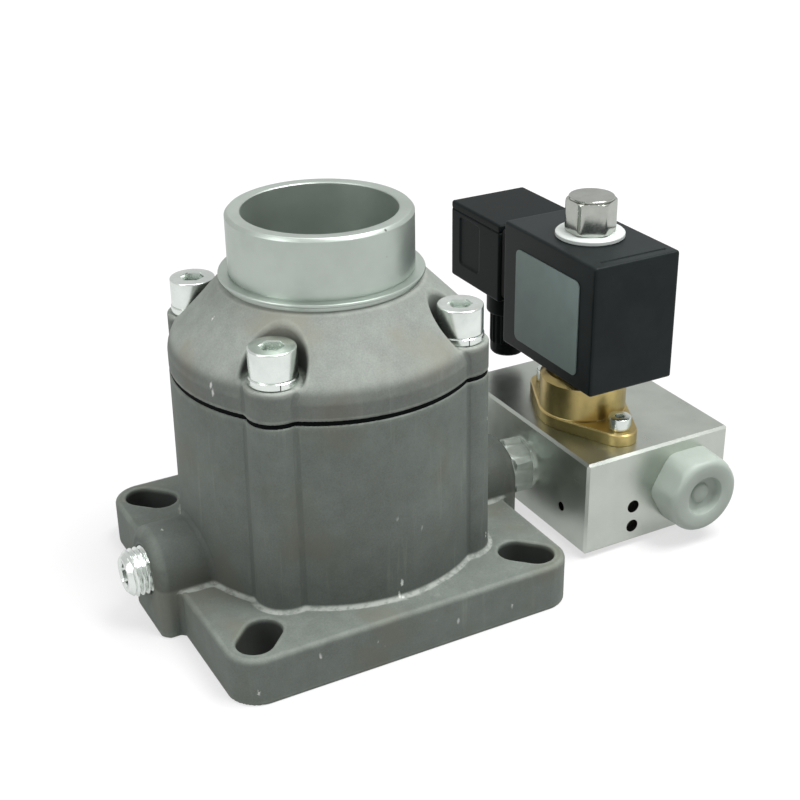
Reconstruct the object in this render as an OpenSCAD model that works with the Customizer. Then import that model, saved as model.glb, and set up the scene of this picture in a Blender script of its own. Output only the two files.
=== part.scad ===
// Intake valve of a screw compressor, with its solenoid manifold.
// Millimetres, +Z up, origin at the centre of the base's underside.
// The plugged boss points to -X, the manifold block stands at +X.

/* [Base] */
// Side of the square base
base_w = 106; // [100:1:114]
// Thickness of the base
base_t = 14.5; // [12:0.5:18]
// Corner radius of the base
base_corner_r = 9; // [6:0.5:10]
// Soft edge round the base's top face
base_edge = 1.2; // [0.6:0.1:2]
// Distance of the slots' centres from the base's sides
slot_inset = 10.7; // [9:0.1:12]
// Length of a bolt slot
slot_length = 16.5; // [13:0.5:17]
// Width of a bolt slot
slot_width = 10.5; // [9:0.5:11]

/* [Body] */
// Width of the base past the drum, at the middle of a side
base_rim = 8.8; // [7.5:0.1:10]
// Draft of the cast wall from the joint down to the foot
body_draft = 0.5; // [0:0.1:1]
// Height of the body's joint face
body_top = 70.4; // [68:0.2:76]
// Thickness of the drum's wall at the joint
body_wall = 10.7; // [10:0.1:12]
// Radius of the concave foot round the body
foot_fillet = 1.2; // [0.8:0.1:3]
// Radius of the screw columns
ear_r = 8; // [7:0.1:9]
// Distance of the screws' axes from the drum's outside, inwards
screw_inset = 4.6; // [4:0.1:5.4]

/* [Side bosses] */
// Radius of the arch of a side boss
boss_r = 12.3; // [11:0.1:13.5]
// Height of the side ports
port_z = 17.2; // [16:0.2:19]
// Length by which a boss stands past the base
boss_proud = 6.2; // [4:0.2:9]
// Rounding of a boss's outer edges
boss_soft = 3.2; // [1:0.2:4]
// Radius of the control passages
passage_r = 2.5; // [1.5:0.1:3]

/* [Cylinder] */
// Outer radius of the control cylinder, as a share of the air passage's
hub_share = 0.657; // [0.63:0.001:0.68]
// Bore radius of the control cylinder, as a share of the air passage's
bore_share = 0.508; // [0.48:0.001:0.52]
// Height of the cylinder's open end
hub_top = 54; // [53:0.5:56]
// Height of the cylinder's floor
hub_floor = 12; // [11:0.5:13]
// Underside of the cylinder and of its webs
hub_bottom = 6.5; // [4:0.5:8]
// Width of the webs that carry the passages
main_web_w = 13; // [10:0.5:16]
// Width of the plain webs
plain_web_w = 6; // [4:0.5:8]
// Top of the webs
web_top = 27; // [25:0.5:32]

/* [Cover] */
// Thickness of the joint gasket
gasket_t = 1.2; // [0.8:0.1:1.6]
// Height of the cover's rim above the gasket
rim_h = 8; // [7:0.1:9]
// Step from the machined shoulder out to the cone's upper end
cone_step = 0.8; // [0.4:0.1:1.6]
// Height of the shoulder's upper face
shoulder_top = 97.7; // [96:0.1:100]
// Width of the shoulder round the neck
shoulder_w = 2.8; // [2:0.1:3]
// Thickness of the shoulder's rim
shoulder_h = 0.9; // [0.7:0.1:1.6]
// Distance of the neck's outside from the drum's outside, inwards
neck_inset = 18.2; // [17.5:0.1:19]
// Thickness of the neck's wall
neck_wall = 4.3; // [3.6:0.1:5]
// Height of the neck's mouth
neck_top = 114.9; // [110:0.1:120]
// Height of the seats of the cover screws
ear_top = 80.4; // [79.5:0.1:81.5]
// Radius of the clearance pocket round a cover screw
pocket_r = 8.7; // [8:0.1:9]
// Height of the valve seat
seat_z = 77; // [76:0.1:77.4]

/* [Valve] */
// Travel of the valve disc
lift = 10; // [6:0.5:11]
// Width of the valve disc past the bore
disc_rim = 4.3; // [4:0.1:5]
// Thickness of the disc at its rim
disc_t = 5; // [4:0.5:6]
// Radius of the stem, as a share of the cylinder's bore
stem_share = 0.294; // [0.27:0.001:0.32]
// Thickness of the piston
piston_t = 10; // [9:0.5:11]
// Wire diameter of the return spring
spring_wire = 1.8; // [1.4:0.1:2]
// Number of turns of the return spring
spring_turns = 5; // [4:1:6]

/* [Fasteners] */
// Head radius of a cover screw
screw_head_r = 6.5; // [6.3:0.1:6.8]
// Head height of a cover screw
screw_head_h = 8; // [7.5:0.1:8.5]
// Shank radius of a cover screw
screw_r = 4; // [3.9:0.05:4.1]
// Thickness of a lock washer
washer_t = 2.3; // [2:0.1:2.5]
// Depth of a cover screw's thread in the body
screw_reach = 14; // [10:1:20]
// Radius of the side port's plug
plug_r = 7; // [6.5:0.1:7.2]
// Length by which the plug stands proud
plug_proud = 6.2; // [4:0.2:8]

/* [Manifold] */
// Gap between the boss face and the manifold block
block_gap = 8.8; // [8:0.1:11]
// Size of the block along X
block_w = 53; // [50:1:58]
// Size of the block along Y
block_l = 72; // [68:1:80]
// Size of the block along Z
block_h = 31.3; // [29:0.1:31.5]
// Bevel of the block's edges
block_bevel = 0.8; // [0.3:0.1:1.5]
// Thread radius of the nipple between body and block
nipple_r = 6.58; // [6.2:0.02:6.8]
// Size across the flats of the nipple's hexagon
nipple_flats = 17; // [16:0.5:18]
// Radius of the block's front port
front_port_r = 10.4; // [9.5:0.1:11]
// Distance of the front port from the block's inner face
front_port_x = 37; // [35:0.5:39]

/* [Solenoid] */
// Distance of the solenoid axis from the block's inner face
solenoid_x = 18; // [17:0.5:24]
// Position of the solenoid axis along Y
solenoid_y = -6.5; // [-8:0.5:-5]
// Radius of the brass base
brass_r = 14; // [13:0.1:14.5]
// Height of the brass base
brass_h = 19.5; // [18.5:0.1:22]
// Thickness of the brass flange
flange_t = 4; // [3.5:0.1:5]
// Distance of the flange screws from the solenoid axis
flange_screw_y = 19.8; // [19:0.1:21]
// Size of the coil along X
coil_w = 30; // [28:0.5:32]
// Size of the coil along Y
coil_l = 48.4; // [46:0.2:50]
// Height of the coil
coil_h = 40.7; // [39:0.1:43]
// Outer radius of the armature tube
tube_r = 6.6; // [6:0.1:7]
// Radius of the plunger
plunger_r = 5; // [4.5:0.1:5.2]
// Travel of the plunger
plunger_lift = 2; // [1:0.5:2]
// Size across the flats of the coil nut
nut_flats = 14; // [13:0.5:15]
// Height of the coil nut
nut_h = 11; // [9:0.5:13]

/* [Connector] */
// Size of the connector housing along X
plug_w = 28; // [25:0.5:29]
// Size of the connector housing along Y
plug_l = 30; // [28:0.5:32]
// Height of the connector housing
plug_h = 26; // [25:0.5:28]
// Height of the connector's underside over the coil's underside
plug_rise = 11.4; // [10:0.1:13]
// Radius of the cable gland's nut
gland_r = 6; // [5.8:0.1:7]
// Length of the gland nut below its collar
gland_nut_h = 15; // [12:0.5:18]

/* [Hidden] */
// Facets of large and of small round surfaces
$fn = 96;
small_fn = 48;
// Overlap of cutting tools past the faces they open
eps = 1;
// Running clearance of a sliding fit, radial
run_fit = 0.06;
// Clearance of pieces that are pushed or screwed together
set_fit = 0.05;
// Clearance between a moving piece and its stop
stop_gap = 0.3;
// Angles of the four corners
corners = [45, 135, 225, 315];

body_r = base_w / 2 - base_rim;
cavity_r = body_r - body_wall;
screw_circle_r = body_r - screw_inset;
slot_radius = (base_w / 2 - slot_inset) * sqrt(2);
boss_face_x = base_w / 2 + boss_proud;
hub_r = hub_share * cavity_r;
cylinder_r = bore_share * cavity_r;
neck_r = body_r - neck_inset;
bore_r = neck_r - neck_wall;
shoulder_r = neck_r + shoulder_w;
cone_top_r = shoulder_r + cone_step;
foot_r = body_r + body_draft;
cover_z = body_top + gasket_t;
rim_top = cover_z + rim_h;
shoulder_z = shoulder_top - shoulder_h;
undercut = 1.1;
gasket_inset = 0.3;
hole_r = screw_r + set_fit;
clear_hole_r = screw_r + 0.5;
thread_depth = screw_reach + screw_r;
screw_key = 1.5 * screw_r;
screw_washer_r = screw_head_r + 0.2;
plug_key = 6;
plug_reach = 10;
thread_pitch = 1.5;
cover_cavity_r = cavity_r - 0.5;

disc_r = bore_r + disc_rim;
stem_r = stem_share * cylinder_r;
seal_proud = 0.5;
seal_groove = 2;
disc_top = seat_z - stop_gap - seal_proud;
disc_z = disc_top - disc_t;
seat_w = 3;
seal_r = bore_r + seat_w + 0.5;
cap_t = 3;
groove_gap = 0.1;
ring_t = 1.2;
ring_z = hub_top - 0.6 - ring_t;
cap_z = ring_z - groove_gap - cap_t;
cap_r = cylinder_r + 2;
bush_r = stem_r + 1.6;
disc_hub_t = 1;
disc_stop_gap = 3.6;
bush_top = disc_z - disc_hub_t - lift - disc_stop_gap;
piston_top = cap_z - 2.5;
piston_z = piston_top - piston_t;
piston_seal_h = 3;
piston_seal_depth = 2.5;
stem_end_r = stem_r - 1;
stem_nut_h = 6;
stem_nut_flats = 2.6 * stem_r;
stem_bottom = piston_z - stem_nut_h - 1.5;
stem_top = disc_top + stem_nut_h + 2.5;
spring_seat_depth = 2.5;
spring_r = 0.68 * cylinder_r;

block_x = boss_face_x + block_gap;
block_z = port_z - block_h / 2;
block_top = block_z + block_h;
nipple_seal_t = 1;
nipple_depth = 11;
nipple_bore_r = 3;
cap_x = block_x + front_port_x;
front_y = -block_l / 2;
front_port_depth = 14;
cap_flats = 2.25 * front_port_r;
cap_head = 10.7;
cap_reach = 9;
cap_recess_r = 0.52 * front_port_r;
cap_recess = 3;

sx = block_x + solenoid_x;
sy = solenoid_y;
coil_z = block_top + brass_h;
coil_top = coil_z + coil_h;
valve_floor = block_top + flange_t;
nozzle_top = valve_floor + 3;
tube_seat = valve_floor + 9;
tube_flange_r = 8.8;
tube_flange_t = 4;
core_z = coil_z + coil_h * 0.66;
core_gap = 0.4;
seal_t = 1.6;
plunger_z = nozzle_top + stop_gap;
plunger_top = core_z - plunger_lift - core_gap;
plunger_spring_depth = 13;
coil_washer_t = 1.5;
coil_washer_r = 0.75 * nut_flats;
nut_z = coil_top + coil_washer_t;
stud_r = 4.9;
side_way_x = 5.5;
way_r = 1.5;
oring_r = 10.6;
oring_wire_r = 0.7;
flange_end_r = 5.5;
flange_screw_r = 2;
flange_reach = 8;
label_w = 33.6;
label_h = 30;
label_r = 2;
label_rise = 19;
label_t = 0.3;
mark_x = 0.3;
mark_r = 2.1;
side_mark_r = 1.5;
mark_rises = [5.4, 12.3];
mark_depth = 2.5;
side_mark_y = 22.8;
side_mark_rise = 10.8;

coil_back = sy + coil_l / 2;
socket_t = 2.3;
connector_seal_t = 2;
plug_y = coil_back + socket_t + connector_seal_t;
plug_z = coil_z + plug_rise;
gland_y = plug_y + plug_l - 14;
collar_r = gland_r + 1.2;
collar_h = 11;
connector_screw_r = 1.5;
connector_screw_l = 20;
connector_head_t = 1.6;
gland_z = plug_z - collar_h;
gland_floor = 2.5;

// The 2-D outline of a rectangle with round corners
module soft_rect(w, l, r) {
    offset(r = r, $fn = 32) square([w - 2 * r, l - 2 * r], center = true);
}

// A box, centred in X and Y, with the same bevel on all its edges
module bevelled_box(w, l, h, c) {
    translate([0, 0, h / 2]) intersection() {
        linear_extrude(h, center = true) bevelled_rect(w, l, c);
        rotate([90, 0, 0]) linear_extrude(l, center = true) bevelled_rect(w, h, c);
        rotate([90, 0, 90]) linear_extrude(w, center = true) bevelled_rect(l, h, c);
    }
}

// The 2-D outline of a rectangle with its corners cut at 45 degrees
module bevelled_rect(w, l, c) {
    x = w / 2;
    y = l / 2;
    polygon([[-x + c, -y], [x - c, -y], [x, -y + c], [x, y - c],
        [x - c, y], [-x + c, y], [-x, y - c], [-x, -y + c]]);
}

// The 2-D outline of a slot along X with round ends
module slot_outline(length, width) {
    for (side = [-1, 1]) translate([side * (length - width) / 2, 0]) circle(d = width);
    square([length - width, width], center = true);
}

// A hexagonal prism standing on z = 0, given by its size across the flats
module hexagon(flats, h) {
    cylinder(r = flats / sqrt(3), h = h, $fn = 6);
}

// A hexagonal nut blank with its corners turned off at the top
module nut_blank(flats, h, chamfer) {
    corner = flats / sqrt(3);
    intersection() {
        hexagon(flats, h);
        union() {
            cylinder(r = corner + 1, h = h - chamfer);
            translate([0, 0, h - chamfer])
                cylinder(r1 = corner, r2 = corner - 1.7 * chamfer, h = chamfer);
        }
    }
}

// A socket head cap screw whose head stands on z = 0 and whose shank points down
module cap_screw(head_r, head_h, shank_r, shank_l, key) {
    edge = head_r * 0.1;
    socket = head_h * 0.55;
    difference() {
        union() {
            cylinder(r = head_r, h = head_h - edge, $fn = small_fn);
            translate([0, 0, head_h - edge])
                cylinder(r1 = head_r, r2 = head_r - edge, h = edge, $fn = small_fn);
            translate([0, 0, -shank_l]) cylinder(r = shank_r, h = shank_l + head_h / 4, $fn = small_fn);
        }
        translate([0, 0, head_h - socket]) hexagon(key, socket + eps);
        translate([0, 0, head_h - edge])
            cylinder(r1 = key / sqrt(3) - edge / 2, r2 = key / sqrt(3) + edge, h = edge + 0.01, $fn = small_fn);
    }
}

// A flat ring standing on z = 0
module ring(outer, inner, h) {
    difference() {
        cylinder(r = outer, h = h);
        translate([0, 0, -eps]) cylinder(r = inner, h = h + 2 * eps);
    }
}

// A compression spring of round wire, from z = 0 to z = h, with closed flat ends
module coil_spring(r, wire, turns, h, steps, sides) {
    n = turns * steps;
    rise = h - wire;
    function along(i) = let (t = i / n) t * t * (3 - 2 * t);
    function middle(i) = let (a = 360 * turns * i / n)
        [r * cos(a), r * sin(a), wire / 2 + rise * along(i)];
    function spoke(i, k) = let (a = 360 * turns * i / n, b = 360 * k / sides)
        middle(i) + wire / 2 * [cos(b) * cos(a), cos(b) * sin(a), sin(b)];
    points = [for (i = [0:n]) for (k = [0:sides - 1]) spoke(i, k)];
    walls = [for (i = [0:n - 1]) for (k = [0:sides - 1]) let (m = (k + 1) % sides)
        each [[i * sides + k, i * sides + m, (i + 1) * sides + m],
            [i * sides + k, (i + 1) * sides + m, (i + 1) * sides + k]]];
    caps = [[for (k = [sides - 1:-1:0]) k], [for (k = [0:sides - 1]) n * sides + k]];
    polyhedron(points, concat(walls, caps));
}

// Places its children at the four cover screws
module at_screws() {
    for (a = corners) rotate([0, 0, a]) translate([screw_circle_r, 0, 0]) children();
}

// The joint's outline: a disc with four ears
module joint_outline(r, ear) {
    circle(r = r);
    at_screws() circle(r = ear);
}

// The square base with its soft top edge
module base_plate() {
    hull() {
        linear_extrude(base_t - base_edge) soft_rect(base_w, base_w, base_corner_r);
        linear_extrude(base_t)
            soft_rect(base_w - 2 * base_edge, base_w - 2 * base_edge, base_corner_r - base_edge);
    }
}

// The drum of the body with its concave foot, as a turned profile
module drum() {
    z = base_t;
    f = foot_fillet;
    steps = 6;
    foot = [for (i = [0:steps]) let (a = 90 * i / steps)
        [foot_r + f * (1 - sin(a)), z + f * (1 - cos(a))]];
    rotate_extrude() polygon(concat([[0, z / 2], [foot_r + f, z / 2]], foot,
        [[body_r, body_top], [body_r, body_top + eps], [0, body_top + eps]]));
}

// A column that carries a cover screw's thread
module column() {
    z = base_t / 2;
    foot = ear_r + body_draft;
    translate([0, 0, z]) cylinder(r1 = foot, r2 = ear_r, h = body_top + eps - z);
    translate([0, 0, base_t - 0.2])
        cylinder(r1 = foot + foot_fillet * 0.5, r2 = foot, h = foot_fillet * 0.6);
}

// A side boss: an arch along X from the drum to its face, with soft outer edges
module side_boss() {
    length = boss_face_x;
    h = port_z + boss_r;
    s = boss_soft;
    intersection() {
        rotate([90, 0, 90]) linear_extrude(length) {
            translate([0, port_z]) circle(r = boss_r);
            translate([-boss_r, 0]) square([2 * boss_r, port_z]);
        }
        linear_extrude(h + eps) side_boss_plan(2 * boss_r, s);
        translate([0, boss_r + eps, 0]) rotate([90, 0, 0])
            linear_extrude(2 * (boss_r + eps)) side_boss_side(h, s);
    }
}

// Plan of a side boss, round at its two outer corners
module side_boss_plan(w, s) {
    translate([0, -w / 2]) square([boss_face_x - s, w]);
    translate([0, -w / 2 + s]) square([boss_face_x, w - 2 * s]);
    for (side = [-1, 1])
        translate([boss_face_x - s, side * (w / 2 - s)]) circle(r = s, $fn = small_fn);
}

// Side view of a side boss, round at its upper outer corner
module side_boss_side(h, s) {
    square([boss_face_x - s, h]);
    square([boss_face_x, h - s]);
    translate([boss_face_x - s, h - s]) circle(r = s, $fn = small_fn);
}

// The control cylinder's outside, with a nose turned down into the air stream
module hub() {
    nose = 4;
    rotate_extrude() polygon([[0, hub_bottom], [hub_r - nose, hub_bottom], [hub_r, hub_bottom + nose],
        [hub_r, hub_top - nose / 4], [hub_r - nose / 4, hub_top], [0, hub_top]]);
}

// The webs that hold the cylinder in the air passage
module webs() {
    span = cavity_r + 2;
    h = web_top - hub_bottom;
    for (turn = [0, 90]) rotate([0, 0, turn]) {
        w = turn == 0 ? main_web_w : plain_web_w;
        translate([-span, -w / 2, hub_bottom]) cube([2 * span, w, h]);
    }
}

// The cast body
module valve_body() {
    color([0.42, 0.44, 0.42]) difference() {
        union() {
            difference() {
                union() {
                    base_plate();
                    drum();
                    at_screws() column();
                    side_boss();
                    mirror([1, 0, 0]) side_boss();
                }
                translate([0, 0, -eps]) cylinder(r = cavity_r, h = body_top + 3 * eps);
                translate([0, 0, body_top]) cylinder(r = base_w, h = 3 * eps);
            }
            hub();
            webs();
        }
        cylinder_bore();
        for (a = corners) rotate([0, 0, a]) translate([slot_radius, 0, -eps])
            linear_extrude(base_t + 2 * eps) slot_outline(slot_length, slot_width);
        at_screws() translate([0, 0, body_top - thread_depth]) cylinder(r = hole_r, h = thread_depth + eps);
        port_bore(nipple_r + set_fit, nipple_depth + 2);
        mirror([1, 0, 0]) port_bore(plug_r + set_fit, plug_reach + 3);
    }
}

// The bore of the control cylinder, with its cap seat and ring groove
module cylinder_bore() {
    translate([0, 0, hub_floor]) cylinder(r = cylinder_r, h = hub_top);
    translate([0, 0, cap_z]) cylinder(r = cap_r + set_fit, h = hub_top);
    translate([0, 0, ring_z - groove_gap / 2]) cylinder(r = cap_r + 1, h = ring_t + groove_gap);
}

// A threaded side port and the passage from it to the control cylinder
module port_bore(r, depth) {
    translate([0, 0, port_z]) rotate([0, 90, 0]) {
        translate([0, 0, boss_face_x - depth]) cylinder(r = r, h = depth + eps);
        translate([0, 0, cylinder_r - 2]) cylinder(r = passage_r, h = boss_face_x - cylinder_r);
    }
}

// The cast cover with its machined neck
module inlet_cover() {
    seat_r = bore_r + seat_w;
    roof = seat_z + 1.5;
    inner_r = cover_cavity_r - 3;
    c = 0.8;
    color([0.56, 0.58, 0.56]) difference() {
        union() {
            rotate_extrude() polygon([[bore_r, seat_z], [seat_r, seat_z], [seat_r + 1, roof],
                [inner_r, roof], [cover_cavity_r, cover_z], [body_r, cover_z], [body_r, rim_top],
                [body_r - 1.4, rim_top + 1.3], [cone_top_r + 0.4, shoulder_z - 2.8],
                [cone_top_r - 0.7, shoulder_z - 1.4], [shoulder_r - undercut, shoulder_z - 1.2],
                [shoulder_r - undercut, shoulder_z], [shoulder_r, shoulder_z + 0.2],
                [shoulder_r, shoulder_top - 0.3], [shoulder_r - 0.3, shoulder_top],
                [neck_r + 0.3, shoulder_top], [neck_r, shoulder_top + 0.4],
                [neck_r, neck_top - c], [neck_r - c, neck_top], [bore_r + c, neck_top],
                [bore_r, neck_top - c]]);
            difference() {
                at_screws() translate([0, 0, cover_z]) cylinder(r = ear_r, h = ear_top - cover_z);
                cylinder(r = cover_cavity_r + 1, h = neck_top);
            }
        }
        at_screws() {
            translate([0, 0, ear_top]) cylinder(r = pocket_r, h = neck_top);
            translate([0, 0, cover_z - eps]) cylinder(r = clear_hole_r, h = neck_top);
        }
    }
}

// The flat gasket between body and cover
module cover_gasket() {
    color([0.05, 0.05, 0.05]) translate([0, 0, body_top]) linear_extrude(gasket_t) difference() {
        joint_outline(body_r - gasket_inset, ear_r - gasket_inset);
        circle(r = cavity_r);
        at_screws() circle(r = clear_hole_r);
    }
}

// Four socket head screws
module cover_screws() {
    head_z = ear_top + washer_t;
    color([0.85, 0.88, 0.88]) at_screws() translate([0, 0, head_z])
        cap_screw(screw_head_r, screw_head_h, screw_r, head_z - body_top + screw_reach, screw_key);
}

// Four split lock washers
module cover_lock_washers() {
    cut = washer_t / 2;
    color([0.75, 0.78, 0.78]) at_screws() translate([0, 0, ear_top]) difference() {
        ring(screw_washer_r, screw_r + 0.2, washer_t);
        translate([0, -cut / 2, -eps]) cube([screw_washer_r + eps, cut, washer_t + 2 * eps]);
    }
}

// The valve disc with the groove of its seal
module valve_disc() {
    hub_z = disc_z - disc_hub_t;
    color([0.7, 0.72, 0.72]) difference() {
        rotate_extrude() polygon([[0, hub_z], [stem_r + 6, hub_z], [disc_r - 1, disc_z + disc_t / 2],
            [disc_r, disc_z + disc_t / 2 + 0.8], [disc_r, disc_top - 0.4], [disc_r - 0.4, disc_top],
            [0, disc_top]]);
        translate([0, 0, disc_top - seal_groove]) ring(seal_r, bore_r - 1, seal_groove + eps);
        translate([0, 0, hub_z - eps]) cylinder(r = stem_end_r + set_fit, h = disc_top - hub_z + 2 * eps);
    }
}

// The rubber ring let into the disc
module disc_seal() {
    h = seal_groove + seal_proud - set_fit;
    color([0.08, 0.08, 0.08]) translate([0, 0, disc_top - seal_groove + set_fit])
        ring(seal_r - set_fit, bore_r - 1 + set_fit, h);
}

// The stem with a shoulder under the disc and one over the piston
module valve_stem() {
    color([0.78, 0.79, 0.8]) {
        translate([0, 0, piston_top]) cylinder(r = stem_r, h = disc_z - disc_hub_t - piston_top);
        translate([0, 0, disc_z - 2 * disc_hub_t])
            cylinder(r = stem_end_r, h = stem_top - disc_z + 2 * disc_hub_t);
        translate([0, 0, stem_bottom]) cylinder(r = stem_end_r, h = piston_top - stem_bottom + 0.5);
    }
}

// The nuts at the two ends of the stem
module stem_nuts() {
    color([0.85, 0.87, 0.87]) {
        translate([0, 0, disc_top]) stem_nut();
        translate([0, 0, piston_z + spring_seat_depth]) mirror([0, 0, 1]) stem_nut();
    }
}

// One lock nut standing on z = 0
module stem_nut() {
    difference() {
        nut_blank(stem_nut_flats, stem_nut_h, 0.8);
        translate([0, 0, -eps]) cylinder(r = stem_end_r + set_fit, h = stem_nut_h + 2 * eps);
    }
}

// The control piston
module piston() {
    seal_z = piston_z + (piston_t - piston_seal_h) / 2;
    r = cylinder_r - run_fit;
    color([0.66, 0.67, 0.66]) difference() {
        translate([0, 0, piston_z]) cylinder(r = r, h = piston_t);
        translate([0, 0, seal_z]) ring(r + eps, r - piston_seal_depth, piston_seal_h);
        translate([0, 0, piston_z - eps]) cylinder(r = spring_r + spring_wire, h = spring_seat_depth + eps);
        translate([0, 0, piston_z - eps]) cylinder(r = stem_end_r + set_fit, h = piston_t + 2 * eps);
    }
}

// The seal ring in the piston's groove
module piston_seal() {
    seal_z = piston_z + (piston_t - piston_seal_h) / 2;
    inner = cylinder_r - run_fit - piston_seal_depth;
    color([0.1, 0.1, 0.1]) translate([0, 0, seal_z + set_fit])
        ring(cylinder_r - run_fit / 2, inner + set_fit, piston_seal_h - 2 * set_fit);
}

// The spring that closes the valve
module return_spring() {
    h = piston_z + spring_seat_depth - hub_floor - 2 * set_fit;
    color([0.6, 0.62, 0.65]) translate([0, 0, hub_floor + set_fit])
        coil_spring(spring_r, spring_wire, spring_turns, h, 16, 8);
}

// The cap that closes the control cylinder and guides the stem
module cylinder_cap() {
    boss = bush_r + 3;
    color([0.62, 0.63, 0.62]) difference() {
        union() {
            translate([0, 0, cap_z]) cylinder(r = cap_r, h = cap_t);
            translate([0, 0, cap_z]) cylinder(r = boss, h = bush_top - cap_z - 1);
            translate([0, 0, bush_top - 1]) cylinder(r1 = boss, r2 = boss - 1, h = 1);
        }
        translate([0, 0, cap_z - eps]) cylinder(r = bush_r + set_fit, h = bush_top - cap_z + 2 * eps);
    }
}

// The bearing bush in the cap
module guide_bush() {
    color([0.65, 0.5, 0.25]) translate([0, 0, cap_z]) ring(bush_r, stem_r + run_fit, bush_top - cap_z);
}

// The open ring that keeps the cap in the cylinder
module retaining_ring() {
    opening = 9;
    color([0.3, 0.3, 0.32]) translate([0, 0, ring_z]) difference() {
        ring(cap_r + 0.9, cap_r - 2, ring_t);
        translate([0, -opening / 2, -eps]) cube([cap_r + 2, opening, ring_t + 2 * eps]);
    }
}

// The threaded plug in the side boss
module port_plug() {
    length = plug_proud + plug_reach;
    bevel = 0.9;
    pitch = thread_pitch;
    color([0.85, 0.88, 0.88]) translate([-boss_face_x - plug_proud, 0, port_z]) rotate([0, 90, 0])
        difference() {
            union() {
                cylinder(r1 = plug_r - bevel, r2 = plug_r, h = bevel);
                translate([0, 0, bevel]) cylinder(r = plug_r, h = length - bevel);
            }
            translate([0, 0, -0.01]) hexagon(plug_key, plug_key);
            for (i = [1:3]) translate([0, 0, bevel / 2 + i * pitch]) thread_groove(plug_r, pitch);
        }
}

// One turned groove of a thread, as a ring with sloping sides
module thread_groove(r, pitch) {
    depth = 0.55 * pitch;
    rotate_extrude() polygon([[r - depth, -pitch * 0.06], [r + 0.2, -pitch * 0.4],
        [r + 0.2, pitch * 0.4], [r - depth, pitch * 0.06]]);
}

// The hexagonal double nipple that carries the manifold block
module hex_nipple() {
    hex_l = block_gap - 2 * nipple_seal_t;
    x = boss_face_x + nipple_seal_t;
    total = hex_l + 2 * (nipple_seal_t + nipple_depth);
    color([0.82, 0.84, 0.84]) translate([0, 0, port_z]) rotate([0, 90, 0]) difference() {
        union() {
            translate([0, 0, x]) rotate([0, 0, 90]) hexagon(nipple_flats, hex_l);
            translate([0, 0, boss_face_x - nipple_depth]) cylinder(r = nipple_r, h = total);
        }
        translate([0, 0, boss_face_x - nipple_depth - eps])
            cylinder(r = nipple_bore_r, h = total + 2 * eps);
    }
}

// The sealing washers at the nipple's two sides
module nipple_washers() {
    color([0.8, 0.82, 0.82]) translate([0, 0, port_z]) rotate([0, 90, 0])
        for (x = [boss_face_x, block_x - nipple_seal_t]) translate([0, 0, x])
            ring(nipple_flats / 2, nipple_r + 0.2, nipple_seal_t);
}

// The machined manifold block
module manifold_block() {
    middle = block_x + block_w / 2;
    color([0.76, 0.78, 0.77]) difference() {
        translate([middle, 0, block_z]) bevelled_box(block_w, block_l, block_h, block_bevel);
        translate([block_x - eps, 0, port_z]) rotate([0, 90, 0]) {
            cylinder(r = nipple_r + set_fit, h = nipple_depth + 2 + eps);
            cylinder(r = nipple_bore_r, h = solenoid_x + 4 + eps);
        }
        translate([cap_x, front_y - eps, port_z]) rotate([-90, 0, 0])
            cylinder(r = front_port_r, h = front_port_depth + eps);
        block_passages();
        for (side = [-1, 1]) translate([sx, sy + side * flange_screw_y, block_top - flange_reach - 2])
            cylinder(r = flange_screw_r + set_fit, h = flange_reach + 2 + eps, $fn = small_fn);
        for (rise = mark_rises) translate([sx - mark_x, front_y - eps, block_z + rise])
            rotate([-90, 0, 0]) cylinder(r = mark_r, h = mark_depth + eps, $fn = small_fn);
        translate([block_x - eps, -side_mark_y, block_z + side_mark_rise]) rotate([0, 90, 0])
            cylinder(r = side_mark_r, h = mark_depth + eps, $fn = small_fn);
    }
}

// The drilled ways from the nipple to the valve seat and from there to the front port
module block_passages() {
    r = way_r;
    translate([sx, sy, port_z + 1]) cylinder(r = r, h = block_h, $fn = small_fn);
    translate([sx, sy - 1, port_z]) rotate([-90, 0, 0]) cylinder(r = r, h = 4 - sy, $fn = small_fn);
    translate([sx, sy, port_z + 3]) sphere(r = r + 0.6, $fn = small_fn);
    translate([sx + side_way_x, sy, port_z]) cylinder(r = r, h = block_h, $fn = small_fn);
    translate([sx + side_way_x, sy, port_z]) rotate([0, 90, 0])
        cylinder(r = r, h = cap_x - sx - side_way_x + r, $fn = small_fn);
    translate([cap_x, sy, port_z]) rotate([90, 0, 0])
        cylinder(r = r, h = block_l / 2 + sy, $fn = small_fn);
}

// The plastic cap in the front port, with a hexagonal head and a round recess
module port_cap() {
    soft = 1.5;
    corner_r = cap_flats / 2 + 0.9;
    shank_r = front_port_r - 0.3;
    color([0.85, 0.9, 0.88, 1]) translate([cap_x, front_y, port_z]) rotate([90, 0, 0]) difference() {
        union() {
            intersection() {
                rotate([0, 0, 90]) hexagon(cap_flats, cap_head);
                union() {
                    cylinder(r = corner_r, h = cap_head - soft);
                    translate([0, 0, cap_head - soft]) cylinder(r1 = corner_r, r2 = corner_r - soft, h = soft);
                }
            }
            translate([0, 0, -cap_reach]) cylinder(r = shank_r, h = cap_reach + 1);
        }
        translate([0, 0, cap_head - cap_recess]) cylinder(r = cap_recess_r, h = cap_recess + eps);
        translate([0, 0, -cap_reach - eps]) cylinder(r = shank_r - 1.8, h = cap_reach + eps);
    }
}

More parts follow.
